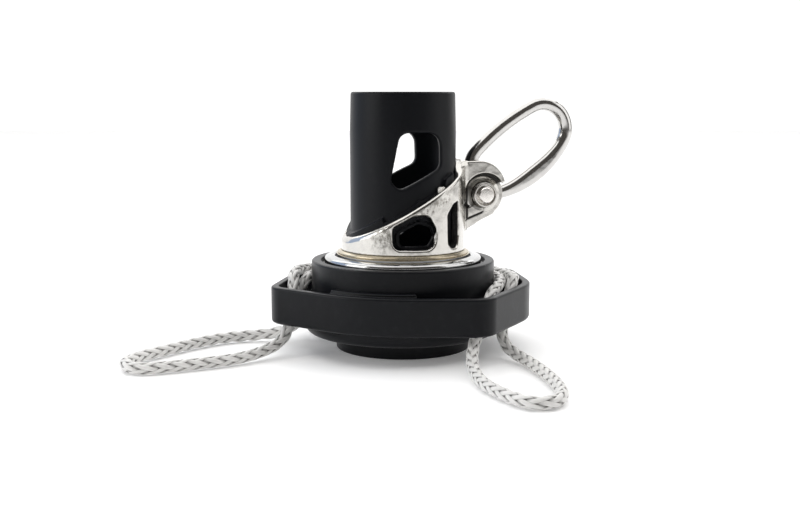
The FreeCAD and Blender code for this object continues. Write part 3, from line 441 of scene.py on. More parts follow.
def saddle_field(x, y, z):
    """Casting, mirrored in y: a cone wall under the slanted rim, joined to ear, hood and boss.

    Windows, slots, bore, the link's gap, pin hole and the lip's rebate are taken out of it, spigot
    and lug are added. The factors 0.73 and 0.8 make distances of a sloping height and reach.
    """
    y = -np.abs(y)
    away = -y
    r = np.hypot(x, y)
    wall_r = FOOT_R - (FOOT_R - RIM_R) * (z - FOOT_Z) / (EAR_TOP_Z - FOOT_Z)
    above = above_rim(x, z)
    fall = SHOULDER_FALL * np.maximum(away - HOOD_FACE_Y - 0.5, 0)
    shoulder = (z - EAR_TOP_Z + fall) * 0.73
    shoulder = round_meet(shoulder, EAR_ROOT_X + 2 - x, 1.5)
    wall = round_meet(r - wall_r, round_join(above, shoulder, 1.5), WALL_EDGE_R)
    pin = np.hypot(x - PIN_X, z - PIN_Z)
    plate = round_meet(round_join(ear_web(x, z), pin - EAR_R, 2.0), away - EAR_FACE_Y, 0.7)
    plate = without(plate, np.maximum(EAR_RELIEF_Y - away, -ear_rib(x, z)), 0.3)
    hood = round_meet(hood_side(x, z), away - HOOD_FACE_Y, 0.7)
    hood = without(hood, np.maximum(pin - EAR_R + 0.1, EAR_RELIEF_Y - away), 0.4)
    flare = np.clip((BOSS_FACE_Y - 1.4 - away) / 2.0, 0, 1)
    bell_r = BELL_NECK_R + (BELL_R - BELL_NECK_R) * flare ** 2
    boss = round_meet((pin - bell_r) * 0.8, away - BOSS_FACE_Y, 0.3)
    clevis = round_join(round_join(plate, hood, 0.4), boss, 0.15)
    casting = round_join(wall, clevis, CLEVIS_FILLET_R)
    gap = np.maximum(away - EAR_INNER_Y, PIN_X - LINK_EYE_R - 0.5 - x)
    throat = shared(away - EAR_INNER_Y, SADDLE_BORE_R + 2.4 - x, PIN_Z + 3 - z)
    kept = np.minimum(np.minimum(ear_web(x, z), hood_side(x, z)), shoulder + 0.5)
    rebate = shared(r - SADDLE_BORE_R - REBATE_WIDTH, 23.5 - r, -above - REBATE_DEPTH, -kept)
    for cut, edge_r in (
            (saddle_window(x, y, z), WINDOW_EDGE_R), (saddle_slot(x, y, z), SLOT_EDGE_R),
            (r - SADDLE_BORE_R, FINE_EDGE_R), (z - FOOT_Z, FINE_EDGE_R),
            (np.minimum(gap, throat), 0.6), (pin - PIN_HOLE_R, 0.3), (rebate, 0.3)):
        casting = without(casting, cut, edge_r)
    spigot = shared(r - SPIGOT_R, SADDLE_BORE_R - r, SPIGOT_LOW_Z - z, z - FOOT_Z - 1)
    turn = np.degrees(np.arctan2(x, away))
    lug = round_meet(notch_side(turn) + 0.15, above - 2.4 + 0.2 * (turn - LIP_NOTCH[0]), 0.5)
    lug = shared(lug, -above - 2.2, r - SADDLE_BORE_R - 1.7, SADDLE_BORE_R + 0.05 - r)
    return np.minimum(np.minimum(casting, lug), spigot)


def saddle_shade_and_stain(x, y, z):
    """Two shares for each point of the casting: painted shade in its deep corners, and stain.

    The painted shade lies in the groove round the boss, under the ear's rib, in the corner of wall
    and ear and on the flare of the boss. The stain lies beside the front window; the same share
    also darkens a band just under the rim.
    """
    away = np.abs(y)
    pin = np.hypot(x - PIN_X, z - PIN_Z)
    angle = np.degrees(np.arctan2(z - PIN_Z, x - PIN_X)) % 360

    def within(value, low, high, fade):
        """1 between two limits, fading to 0 past them."""
        return np.clip(np.minimum(value - low, high - value) / fade + 1, 0, 1)

    # Painted shade in the casting's deep corners, where shadow falls
    face = within(away, 4.7, 6.2, 0.5)
    groove = within(pin, BELL_R + 0.1, EAR_R - 0.2, 0.25) * within(angle, 35, 235, 12) * face
    under_rib = within(ear_rib(x, z), 0.0, 1.2, 0.35) * within(x, 28.0, 37.5, 1.0) * face
    under_rib = under_rib * np.clip((64.5 - z) / 0.8, 0, 1)
    corner = within(x, 28.6, 29.9, 0.4) * within(z, 60.5, 77.0, 2.0) * within(away, 5.0, 8.2, 0.8)
    flare = within(pin, BELL_NECK_R + 0.4, BELL_NECK_R + 1.6, 0.4) * within(angle, 70, 250, 25)
    flare = flare * within(away, 5.4, 8.6, 0.3) * 0.6
    shade = np.max([groove, under_rib, corner, flare], 0)
    # Stain beside the front window, and a darker band just under the rim
    turn = np.degrees(np.arctan2(x, away))
    above = above_rim(x, z)
    beside = np.clip(1.25 - np.hypot((turn + 33) * 0.5, z - 56) / 8, 0, 1)
    along = within(above, -5.0, -2.0, 1.5) * within(x, -12.0, 15.0, 4.0)
    stain = np.where(y < 0, np.maximum(beside, 0.8 * along), 0.5 * along)
    return shade, np.clip(stain, 0, 1)


def saddle_wall(x, y, z):
    """The casting behind the plane where its ears leave the wall."""
    return np.maximum(saddle_field(x, y, z), x - EAR_LINE_X)


def saddle_ears(x, y, z):
    """The casting in front of that plane, with a hair of overlap."""
    return np.maximum(saddle_field(x, y, z), EAR_LINE_X - 0.02 - x)


sleeve_upper = WallOpening(SLEEVE_UPPER_WINDOW, SLEEVE_R)
sleeve_lower = WallOpening(SLEEVE_LOWER_WINDOW, SLEEVE_R)


def sleeve_field(x, y, z):
    """Tube, mirrored in y, tapered to a rounded top edge and joined to its lip.

    The lip is a band of heights about the slanted rim. Windows and a border line are taken out.
    """
    y = -np.abs(y)
    r = np.hypot(x, y)
    risen = z - SLEEVE_TOP_Z + SLEEVE_TAPER_HEIGHT
    taper = SLEEVE_TAPER * np.clip(risen / SLEEVE_TAPER_HEIGHT, 0, 1)
    above = above_rim(x, z)
    turn = np.degrees(np.arctan2(x, -y))
    tab = 2.1 * np.clip((turn - LIP_NOTCH[1]) / 1.5, 0, 1)
    bump = 1.4 * np.exp(-(turn / 3.2) ** 2)
    fin = 2.2 * np.clip((turn + 85) / 48, 0, 1) * np.clip((-35 - turn) / 1.5, 0, 1)
    rise = 0.78 + tab + bump + fin
    lip = shared(r - LIP_R, SLEEVE_R - 1 - r, above - rise, -above - 1.3, x - 19.0,
                 -notch_side(turn))
    tube = round_meet(r - SLEEVE_R + taper, z - SLEEVE_TOP_Z, 1.2)
    tube = round_join(tube, lip, 0.4)
    border = np.abs(sleeve_lower(x, y, z) - BORDER_GAP) - 0.35
    border = np.maximum(border, SLEEVE_R - 0.35 - r)
    tube = without(tube, border, 0.2)
    tube = without(tube, sleeve_upper(x, y, z), 1.1)
    tube = without(tube, sleeve_lower(x, y, z), 0.6)
    tube = round_meet(tube, LUFF_BORE_R - r, 0.8)
    return np.maximum(tube, SLEEVE_CUT_Z - z)


band_plan = FlatShape(soften(
    [(0.0, -55.6, 70.0)] + BAND_PLAN + [(0.0, 61.5, 60.0)]
    + [(-x, y, radius) for x, y, radius in reversed(BAND_PLAN)], 24), 4.0)


def band_field(x, y, z):
    """Strop band: all within BAND_WALL inside its plan's outline, joined to its webs.

    The webs fill the plan round the cup, within an angle of front and rear, up to their heights.
    """
    u, v = turned_plan(-BAND_TURN, x, y)
    side = band_plan(u, v)
    wall = round_meet(round_meet(side, z - BAND_TOP_Z, 1.0), BAND_LOW_Z - z, 1.8)
    wall = round_meet(wall, -side - BAND_WALL, 0.5)
    r = np.hypot(u, v)
    turn = np.arctan2(np.abs(u), -v)
    front = (turn - FRONT_WEB_TURN) * r
    rear = (REAR_WEB_TURN - turn) * r
    over = z - BAND_TOP_Z
    front_web = round_meet(front, over + FRONT_WEB_DROP, WEB_EDGE_R)
    ledge = round_meet(front, r - BODY_R, WEB_EDGE_R)
    ledge = round_meet(ledge, over - FRONT_LEDGE_RISE, WEB_EDGE_R)
    rear_web = round_meet(rear, over + REAR_WEB_DROP, WEB_EDGE_R)
    webs = round_join(np.minimum(front_web, rear_web), ledge, WEB_EDGE_R)
    webs = round_meet(np.maximum(webs, side + BAND_WALL / 2), BAND_LOW_Z - z, WEB_EDGE_R)
    return round_join(wall, np.maximum(webs, INSIDE_CUP_R - r), WEB_EDGE_R)


def link_arcs():
    """The link's centre line: arcs given as (centre, radius, middle direction, half angle, extra).

    Two long sides, then the two ends. The lower side's bar reaches further in by the extra.
    """
    tip, root = np.array(LINK_TIP), np.array(LINK_ROOT)
    half = np.linalg.norm(tip - root) / 2
    along = (tip - root) / (2 * half)
    upwards = np.array([-along[1], along[0]])
    middle = (tip + root) / 2
    arcs, lean = [], []
    for sign, bow, extra in ((1, LINK_BOWS[0], 0.0), (-1, LINK_BOWS[1], LINK_THICKER)):
        excess = (half * half + bow * bow) / (2 * bow)
        centre = middle - upwards * (sign * (excess - bow))
        angle = math.asin(half / excess)
        arcs.append((centre, excess + LINK_END_R, upwards * sign, angle, extra))
        lean.append(angle)
    for centre, direction in ((tip, along), (root, -along)):
        upper = upwards * math.cos(lean[0]) + direction * math.sin(lean[0])
        lower = -upwards * math.cos(lean[1]) + direction * math.sin(lean[1])
        between = upper + lower
        between = between / np.linalg.norm(between)
        arcs.append((centre, LINK_END_R, between, math.acos(between @ upper), 0.0))
    return arcs


LINK_ARCS = link_arcs()


def link_field(x, y, z):
    """Round bar along the oval, joined with a soft fillet to the barrel of the eye.

    The bar is all that lies within its radius of a line, or on the lower side of a strip, whose
    width is extra (1 - (angle / half)^2)^2.
    """
    bar = 1e3
    for centre, radius, (a, b), half, extra in LINK_ARCS:
        dx, dz = x - centre[0], z - centre[1]
        ahead, across = dx * a + dz * b, np.abs(dz * a - dx * b)
        angle = np.minimum(np.abs(np.arctan2(across, ahead)), half)
        inner_r = radius - extra * (1 - (angle / half) ** 2) ** 2
        near_r = np.clip(np.hypot(ahead, across), inner_r, radius)
        px, pz = near_r * np.cos(angle), near_r * np.sin(angle)
        distance = np.sqrt((ahead - px) ** 2 + (across - pz) ** 2 + y ** 2)
        bar = np.minimum(bar, distance - LINK_BAR_R)
    pin = np.hypot(x - PIN_X, z - PIN_Z)
    eye = round_meet(pin - LINK_EYE_R, np.abs(y) - LINK_EYE_HALF, 1.6)
    body = round_join(bar, eye, LINK_FILLET_R)
    body = np.maximum(body, np.abs(y) - LINK_EYE_HALF - 0.6 * np.maximum(pin - EAR_R, 0))
    return without(body, pin - LINK_EYE_BORE_R, 0.4)


def field_piece(name, body, slot, material, field, low, high, step, replaced, shading=None):
    """Piece whose surface is where a field is zero, and that surface's points."""
    points, faces, normals = surface_of(field, low, high, step, shading)
    piece = add_piece(name, body, slot, material, points, faces, replaced, normals)
    return piece, points


def turned_piece(name, body, slot, material, profile, replaced):
    """Piece turned about Z from a profile of (r, z, corner radius)."""
    points, faces = turned(soften(profile))
    add_piece(name, body, slot, material, points, faces, replaced, sharp_degrees=28)


def merged_copy(name, slot, material, node):
    """Smooth copy of a CAD node of the housing: shared corners merged, sharp edges kept."""
    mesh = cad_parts[node].data
    places = np.empty(len(mesh.vertices) * 3, np.float32)
    mesh.vertices.foreach_get("co", places)
    mesh.calc_loop_triangles()
    corners = np.empty(len(mesh.loop_triangles) * 3, np.int32)
    mesh.loop_triangles.foreach_get("vertices", corners)
    places = np.round(places.reshape(-1, 3).astype(float) / MM, 4)
    points, back = np.unique(places, axis=0, return_inverse=True)
    faces = back.reshape(-1)[corners].reshape(-1, 3)
    proper = (faces != np.roll(faces, 1, 1)).all(1)
    piece = add_piece(name, "housing", slot, material, points, faces[proper], [node],
                      sharp_degrees=32)
    piece.modifiers.new("flat faces lead", "WEIGHTED_NORMAL").keep_sharp = True


class Flow:
    """One value or colour in a material; arithmetic on it adds the nodes that work it out."""

    def __init__(self, paint, socket, wide=False):
        self.paint, self.socket, self.wide = paint, socket, wide

    def _with(self, operation, *values):
        wide = any(isinstance(v, Flow) and v.wide or isinstance(v, tuple) for v in values)
        if wide:
            values = [(v,) * 3 if isinstance(v, (int, float)) else v for v in values]
        kind = "ShaderNodeVectorMath" if wide else "ShaderNodeMath"
        made = self.paint.node(kind, {"operation": operation}, dict(enumerate(values)))
        return Flow(self.paint, made.outputs[0], wide)

    def __add__(self, other):
        return self._with("ADD", self, other)

    def __radd__(self, other):
        return self._with("ADD", other, self)

    def __sub__(self, other):
        return self._with("SUBTRACT", self, other)

    def __mul__(self, other):
        return self._with("MULTIPLY", self, other)

    def __pow__(self, other):
        return self._with("POWER", self, other)

    def sine(self):
        return self._with("SINE", self)

    def size(self):
        return self._with("ABSOLUTE", self)

    def clamped(self, low, high):
        """This value mapped so that low gives 0 and high gives 1, and held between them."""
        made = self.paint.node("ShaderNodeMapRange", {"clamp": True}, {0: self, 1: low, 2: high})
        return Flow(self.paint, made.outputs[0])


class Paint:
    """A material under construction, with one method for every node it needs."""

    def __init__(self, name):
        self.material = bpy.data.materials.new(name)
        self.material.use_nodes = True
        self.tree = self.material.node_tree
        self.shader = self.tree.nodes["Principled BSDF"]

    def feed(self, socket, value):
        """Links a worked-out value to a socket or sets a fixed one, colours as opaque."""
        if isinstance(value, Flow):
            self.tree.links.new(value.socket, socket)
        else:
            socket.default_value = (*value[:3], 1.0) if socket.type == "RGBA" else value

    def node(self, kind, settings, inputs):
        """New node with its settings, and its inputs fed."""
        made = self.tree.nodes.new(kind)
        for key, value in settings.items():
            setattr(made, key, value)
        for key, value in inputs.items():
            self.feed(made.inputs[key], value)
        return made

    def place(self):
        """Object coordinates in metres."""
        return Flow(self, self.node("ShaderNodeTexCoord", {}, {}).outputs["Object"], True)

    def part(self, vector, axis):
        made = self.node("ShaderNodeSeparateXYZ", {}, {0: vector})
        return Flow(self, made.outputs[axis])

    def lay(self):
        """The piece's own map: how far along, how far round."""
        made = self.node("ShaderNodeUVMap", {"uv_map": "lay"}, {})
        return Flow(self, made.outputs[0], True)

    def kept(self, name):
        """A value kept with each point of the piece."""
        made = self.node("ShaderNodeAttribute", {"attribute_name": name}, {})
        return Flow(self, made.outputs["Fac"])

    def noise(self, where, scale, detail, roughness, stretch=None):
        if stretch is not None:
            where = where * stretch
        made = self.node("ShaderNodeTexNoise", {}, {
            "Vector": where, "Scale": scale, "Detail": detail, "Roughness": roughness})
        return Flow(self, made.outputs[0])

    def blend(self, share, first, second):
        """Colour that goes from first to second."""
        mix = self.node("ShaderNodeMix", {"data_type": "RGBA"}, {0: share, 6: first, 7: second})
        return Flow(self, mix.outputs[2], True)

    def shades(self, share, shade, low, high):
        """Colour that goes from low to high times the given shade."""
        return self.blend(share, tuple(low * c for c in shade), tuple(high * c for c in shade))

    def finish(self, colour, roughness, metallic=0.0, height=None, depth=0.0, **fixed):
        """Sets the shader; colour and roughness may be fixed or worked out."""
        for key, value in {"Base_Color": colour, "Roughness": roughness, "Metallic": metallic,
                           **fixed}.items():
            self.feed(self.shader.inputs[key.replace("_", " ")], value)
        if height is not None:
            bump = self.node(
                "ShaderNodeBump", {}, {"Height": height, "Distance": depth, "Strength": 1.0})
            self.tree.links.new(bump.outputs[0], self.shader.inputs["Normal"])
        return self.material


def black_metal(name, shade, roughness):
    """Black anodised metal: fine tooth, faint cloudy wear and a soft gloss."""
    paint = Paint(name)
    where = paint.place()
    cloud = paint.noise(where, 55.0, 5.0, 0.6)
    tooth = paint.noise(where, 2600.0, 2.0, 0.6)
    rub = paint.noise(where, 320.0, 4.0, 0.65).clamped(0.52, 0.78)
    colour = paint.shades(cloud.clamped(0.3, 0.7), shade, 0.8, 1.2) + rub * 0.003
    gloss = roughness + (cloud - 0.5) * 0.16 - rub * 0.05
    return paint.finish(colour, gloss, 0.0, tooth * 0.6 + rub * 0.4, 0.00002,
                        Specular_IOR_Level=0.135)


def moulded_plastic(name, shade, roughness):
    """Black moulding: slight flow marks up its length and a fine even grain."""
    paint = Paint(name)
    where = paint.place()
    flow = paint.noise(where, 60.0, 4.0, 0.55, (1.0, 1.0, 0.16))
    grain = paint.noise(where, 1900.0, 2.0, 0.5)
    scuff = paint.noise(where, 210.0, 5.0, 0.7).clamped(0.56, 0.8)
    colour = paint.shades(flow.clamped(0.3, 0.7), shade, 0.85, 1.18) + scuff * 0.003
    return paint.finish(colour, roughness + (flow - 0.5) * 0.14 + scuff * 0.08, 0.0,
                        grain * 0.5 + flow * 2.0, 0.00003, Specular_IOR_Level=0.12)


def bright_metal(name, shade, roughness, wave=0.0, wave_depth=0.0, with_stain_and_painted_shade=False):
    """Polished metal with fine wipe marks, and hand-polished waviness where it was cast.

    A piece with stain and painted shade kept at its points is darkened and dulled by them.
    """
    paint = Paint(name)
    where = paint.place()
    broad = paint.noise(where, 90.0, 3.0, 0.5)
    fine = paint.noise(where, 1400.0, 3.0, 0.6, (1.0, 1.0, 0.25))
    dull = paint.noise(where, 240.0, 4.0, 0.6).clamped(0.5, 0.8)
    colour = paint.shades(dull, shade, 1.0, 0.88)
    gloss = roughness + dull * 0.08 + fine * 0.03
    if with_stain_and_painted_shade:
        speck = paint.noise(where, 520.0, 5.0, 0.7, (1.0, 1.0, 0.7)).clamped(0.47, 0.6)
        stain = paint.kept("stain") * speck
        # Painted shade: the casting's deep corners blended almost to black
        dark = paint.kept("shade")
        colour = paint.blend(stain * 0.8, colour, (0.1, 0.09, 0.072))
        colour = paint.blend(dark * 0.96, colour, (0.01, 0.009, 0.008))
        gloss = gloss + stain * 0.2 + dark * 0.2
    if wave:
        waves = paint.noise(where, wave, 2.0, 0.4) + fine * 0.01
        return paint.finish(colour, gloss, 1.0, waves, wave_depth)
    return paint.finish(colour, gloss, 1.0, broad + fine * 0.1, 0.000006)


def turned_metal(name, shade, roughness, centre=None, pitch=0.00025):
    """Lathe-turned metal: fine rings about Z, or about the clevis pin's axis."""
    paint = Paint(name)
    where = paint.place()
    if centre is None:
        a, b = paint.part(where, 0), paint.part(where, 1)
    else:
        a, b = paint.part(where, 0) - centre[0], paint.part(where, 2) - centre[1]
    radius = (a * a + b * b) ** 0.5
    rings = (radius * (math.tau / pitch)).sine()
    wipe = paint.noise(where, 500.0, 4.0, 0.6)
    colour = paint.shades(wipe.clamped(0.35, 0.7), shade, 0.85, 1.0)
    return paint.finish(colour, roughness + wipe * 0.1, 1.0, rings * 0.4 + wipe * 0.6, 0.000006)


def plain_hidden(name, shade, roughness, metallic):
    """Finish of an inner piece: slight mottling and a fine grain."""
    paint = Paint(name)
    mottle = paint.noise(paint.place(), 300.0, 4.0, 0.6)
    colour = paint.shades(mottle.clamped(0.35, 0.7), shade, 0.85, 1.0)
    return paint.finish(colour, roughness + mottle * 0.12, metallic, mottle, 0.00001)


def braided_line(name, light, shade):
    """Strand of the strop: fine fibres, painted shade in its hollows and edges, a silky sheen."""
    paint = Paint(name)
    lay = paint.lay()
    fibres = paint.noise(lay, 1.0, 3.0, 0.6, (0.25, 26.0, 1.0))
    cloud = paint.noise(paint.place(), 140.0, 4.0, 0.6)
    # Painted shade: darker where the strand lies deep under the outside and at its edges, in the
    # creases
    hollow = paint.kept("sunk").clamped(0.24, 0.5)
    seam = (paint.part(lay, 1) - 0.5).size().clamped(0.12, 0.23)
    share = hollow * 0.5 + seam * 0.5 + fibres.clamped(0.35, 0.75) * 0.22
    share = share + (cloud - 0.5) * 0.4
    colour = paint.blend(share.clamped(0.0, 1.0), light, shade)
    return paint.finish(colour, 0.45 + fibres * 0.2, 0.0, fibres, 0.00012,
                        Sheen_Weight=0.2, Specular_IOR_Level=0.45)


def twine(name, shade):
    """Twisted twine: dark between its plies, matt."""
    paint = Paint(name)
    twist = paint.noise(paint.lay(), 1.0, 3.0, 0.6, (6.0, 20.0, 1.0))
    colour = paint.shades(twist.clamped(0.3, 0.7), shade, 0.6, 1.0)
    return paint.finish(colour, 0.7 + twist * 0.1, 0.0, twist, 0.0001)


def pale_floor(name):
    """Plain white floor with a faint cloud in it."""
    paint = Paint(name)
    cloud = paint.noise(paint.place(), 3.0, 2.0, 0.5)
    colour = paint.blend(cloud, (0.93, 0.93, 0.93), (0.95, 0.95, 0.95))
    return paint.finish(colour, 0.75 + cloud * 0.1, 0.0, cloud, 0.00001, Specular_IOR_Level=0.2,
                        Emission_Color=(1.0, 1.0, 1.0), Emission_Strength=0.14)


def route_line():
    """Points in millimetres that Blender reads from the strop's line, a NURBS curve."""
    data = bpy.data.curves.new("strop_line", "CURVE")
    data.dimensions = "3D"
    data.resolution_u = 16
    spline = data.splines.new("NURBS")
    spline.points.add(len(STROP_ROUTE) - 1)
    for point, (x, y, z) in zip(spline.points, STROP_ROUTE):
        x, y = turned_plan(BAND_TURN, x, y)
        point.co = (x * MM, y * MM, z * MM, 1.0)
    spline.order_u = 3
    spline.use_endpoint_u = True
    holder = in_scene("strop_line", data)
    bpy.context.view_layer.update()
    mesh = bpy.data.meshes.new_from_object(holder)
    points = np.array([v.co for v in mesh.vertices], float) / MM
    bpy.data.meshes.remove(mesh)
    bpy.data.objects.remove(holder)
    bpy.data.curves.remove(data)
    return points


def even_points(points, gap):
    """Points at even distances along a line, with the distance of each."""
    steps = np.linalg.norm(np.diff(points, axis=0), axis=1)
    run = np.concatenate([[0], np.cumsum(steps)])
    count = int(round(run[-1] / gap)) + 1
    at = np.linspace(0, run[-1], count)
    return np.stack([np.interp(at, run, points[:, k]) for k in range(3)], 1), at


def frames_along(points):
    """Two directions square to the line at each point, carried along without twist."""
    tangents = np.gradient(points, axis=0)
    tangents /= np.linalg.norm(tangents, axis=1, keepdims=True)
    side = np.cross(tangents[0], (0.0, 0.0, 1.0))
    side /= np.linalg.norm(side)
    sides = [side]
    for i in range(1, len(points)):
        side = sides[-1] - tangents[i] * (sides[-1] @ tangents[i])
        sides.append(side / np.linalg.norm(side))
    sides = np.array(sides)
    return sides, np.cross(tangents, sides)


# The strop's braid, its heart and the whipping, in millimetres
STRANDS_EACH_WAY = 6
STRAND_HALF_DEPTH = 0.62
STRAND_WEAVE = 0.33
STRAND_HALF_WIDTH = (0.84, 0.98)
BRAID_OUT_R = 2.8
BRAID_PITCH = 44.0
HEART_R = 1.75
WHIPPING_HALF = 5.0
WHIPPING_TURNS = 14
WHIPPING_SIDES = 40
TWINE_BULGE = 0.38


def outwards_at(side, upper, angle):
    """Directions square to a line at the given angles round it, one row for each of its points."""
    return side[:, None] * np.cos(angle)[..., None] + upper[:, None] * np.sin(angle)[..., None]


def braid(points):
    """Twelve flat strands, six each way round the line, each over two and under two.

    A strand's middle lies at angle a = +-2 pi s / pitch + its own start, at the radius
    r0 + weave cos(2 pi (12 s / pitch + shift) / 4). Its section is a flat oval lying on the round,
    wide where the strand is on top and narrow where it is beneath. Returns points, faces, map and,
    for each point, how deep it lies under the outside, 0 to 1.
    """
    middle, run = even_points(points, 1.0)
    side, upper = frames_along(middle)
    base_r = BRAID_OUT_R - STRAND_HALF_DEPTH - STRAND_WEAVE
    t = np.linspace(0, math.tau, 9)[:-1] - math.pi / 2
    wide = np.cos(t)
    deep = STRAND_HALF_DEPTH * np.sin(t)
    narrow, broad = STRAND_HALF_WIDTH
    lean = math.atan(math.tau * base_r / BRAID_PITCH)
    around = np.tile(np.arange(len(t)) / len(t), len(middle))
    strands = []
    for way in (1, -1):
        for k in range(STRANDS_EACH_WAY):
            turn = way * math.tau * run / BRAID_PITCH + math.tau * k / STRANDS_EACH_WAY
            shift = way * (2 * k - 0.5)
            crossing = 2 * STRANDS_EACH_WAY * run / BRAID_PITCH + shift
            lift = way * np.cos(math.pi / 2 * crossing)
            half = narrow + (broad - narrow) * (0.5 + 0.5 * lift)
            r = (base_r + STRAND_WEAVE * lift)[:, None] + deep
            angle = turn[:, None] + half[:, None] * wide / (base_r * math.cos(lean))
            ring = middle[:, None, :] + outwards_at(side, upper, angle) * r[..., None]
            along = np.repeat(run, len(t)) + 97 * k + 11 * way
            strands.append((
                ring.reshape(-1, 3), tube_faces(*r.shape) + r.size * len(strands),
                np.stack([along, around], 1), np.clip((BRAID_OUT_R - r) / 1.2, 0, 1).ravel()))
    return [np.concatenate(parts) for parts in zip(*strands)]


def heart(points):
    """Heart of the braid, a plain round line; near black, as painted shade between the strands."""
    middle, _ = even_points(points, 2.5)
    side, upper = frames_along(middle)
    angle = np.linspace(0, math.tau, 10, endpoint=False)[None, :]
    ring = middle[:, None, :] + outwards_at(side, upper, angle) * HEART_R
    return ring.reshape(-1, 3), tube_faces(len(middle), angle.size)[:, ::-1]


def whipping():
    """Turns of twine side by side round the splice, as one tube with a ridge that winds along it.

    Its radius is R + h |sin p|^0.6, where p grows by pi for each turn along it and once round it.
    """
    _, splice_y, splice_z = STROP_ROUTE[0]
    along = np.linspace(-WHIPPING_HALF, WHIPPING_HALF, 181)
    angle = np.linspace(0, math.tau, WHIPPING_SIDES, endpoint=False)
    phase = along[:, None] / (2 * WHIPPING_HALF) * WHIPPING_TURNS * math.pi + angle[None, :] / 2
    r = STROP_R + 0.12 + TWINE_BULGE * np.abs(np.sin(phase)) ** 0.6
    r = r * np.where(np.abs(along[:, None]) > WHIPPING_HALF - 0.05, 0.93, 1.0)
    x, y = turned_plan(BAND_TURN, along[:, None] + 0 * angle, splice_y + r * np.cos(angle))
    points = np.stack([x, y, splice_z + r * np.sin(angle)], 2).reshape(-1, 3)
    lay = np.stack([np.repeat(along, WHIPPING_SIDES), np.tile(angle, len(along))], 1)
    return points, tube_faces(len(along), len(angle))[:, ::-1], lay


black_housing = black_metal("black_housing", (0.0062, 0.0068, 0.0084), 0.34)
black_sleeve = moulded_plastic("black_sleeve", (0.0045, 0.005, 0.0064), 0.4)
polished_casting = bright_metal(
    "polished_casting", (0.58, 0.565, 0.535), 0.17, 150.0, 0.00034, with_stain_and_painted_shade=True)
polished_link = bright_metal("polished_link", (0.56, 0.55, 0.535), 0.11, 110.0, 0.0003)
polished_steel = bright_metal("polished_steel", (0.5, 0.5, 0.497), 0.1)
straw_steel = turned_metal("straw_steel", (0.5, 0.44, 0.33), 0.2, pitch=0.0009)
pin_place = (PIN_X * MM, PIN_Z * MM)
pin_steel = turned_metal("pin_steel", (0.96, 0.93, 0.89), 0.2, pin_place)
collar_steel = turned_metal("collar_steel", (0.62, 0.6, 0.57), 0.16, pin_place)
screw_steel = plain_hidden("screw_steel", (0.6, 0.6, 0.59), 0.3, 1.0)
race_steel = turned_metal("race_steel", (0.55, 0.56, 0.58), 0.25)
ball_steel = plain_hidden("ball_steel", (0.75, 0.76, 0.78), 0.08, 1.0)
cage_plastic = plain_hidden("cage_plastic", (0.7, 0.67, 0.6), 0.5, 0.0)
seal_rubber = plain_hidden("seal_rubber", (0.02, 0.02, 0.02), 0.6, 0.0)
line_fibre = braided_line("line_fibre", (0.835, 0.825, 0.805), (0.2, 0.193, 0.183))
# Near-black heart: painted shade in the gaps between the strands
heart_painted_shade = plain_hidden("heart_painted_shade", (0.05, 0.048, 0.046), 0.8, 0.0)
whipping_twine = twine("whipping_twine", (0.09, 0.09, 0.1))

points = route_line()
braid_points, braid_faces, braid_lay, braid_sunk = braid(points)
heart_points, heart_faces = heart(points)
strop = add_piece(
    "strop_braid", "housing", "strop_line", line_fibre,
    np.concatenate([braid_points, heart_points]),
    np.concatenate([braid_faces, heart_faces + len(braid_points)]), ["strop"],
    lay=np.concatenate([braid_lay, np.zeros((len(heart_points), 2))]))
strop.data.materials.append(heart_painted_shade)
strop.data.polygons.foreach_set(
    "material_index", np.repeat([0, 1], [len(braid_faces), len(heart_faces)]).astype(np.int32))
# How deep each point lies, which the strand's material turns into painted shade
keep_values(strop, "sunk", np.concatenate([braid_sunk, np.ones(len(heart_points))]))
twine_points, twine_faces, twine_lay = whipping()
turns = add_piece("strop_whipping_turns", "housing", "whipping_twine", whipping_twine,
                  twine_points, twine_faces, ["strop_whipping"], lay=twine_lay)

merged_copy("housing_shell", "black_housing", black_housing, "swivel_housing")
field_piece("strop_band_shell", "housing", "black_housing", black_housing, band_field,
            (-66.0, -66.0, 13.2), (66.0, 66.0, 33.6), 0.6, ["strop_band"])
merged_copy("base_ring_shell", "black_housing", black_housing, "base_ring")

# Turned rings, as profiles of (r, z, corner radius)
turned_piece("top_ring_polished", "housing", "polished_steel", polished_steel, [
    (31.9, 36.4, 0), (38.4, 36.4, 0), (38.4, 38.0, 0), (36.8, 38.0, 0), (36.8, 43.4, 1.5),
    (32.5, 44.2, 0.6), (31.9, 43.7, 0)], ["top_ring"])
turned_piece("wear_ring_turned", "saddle", "straw_ring", straw_steel, [
    (26.15, 44.6, 0), (31.2, 44.6, 0.1), (31.3, 44.95, 0.1), (30.4, 45.15, 0.1),
    (30.4, 45.35, 0.05), (30.8, 45.45, 0.1), (30.7, 45.8, 0.2), (29.3, 46.5, 0.1),
    (26.15, 46.6, 0)], ["wear_ring"])

for name, half, low, high, step in (
        ("saddle_casting", saddle_wall, (-31.0, -30.5, 38.0), (31.0, 30.5, 88.6), 0.45),
        ("saddle_clevis", saddle_ears, (28.0, -11.0, 52.0), (49.5, 11.0, 88.6), 0.26)):
    saddle, saddle_points = field_piece(
        name, "saddle", "polished_casting", polished_casting, half, low, high, step,
        ["halyard_saddle", "halyard_clevis"], saddle_field)
    # Painted shade and stain kept at each point for the casting's material
    for mark, share in zip(("shade", "stain"), saddle_shade_and_stain(*saddle_points.T)):
        keep_values(saddle, mark, share)

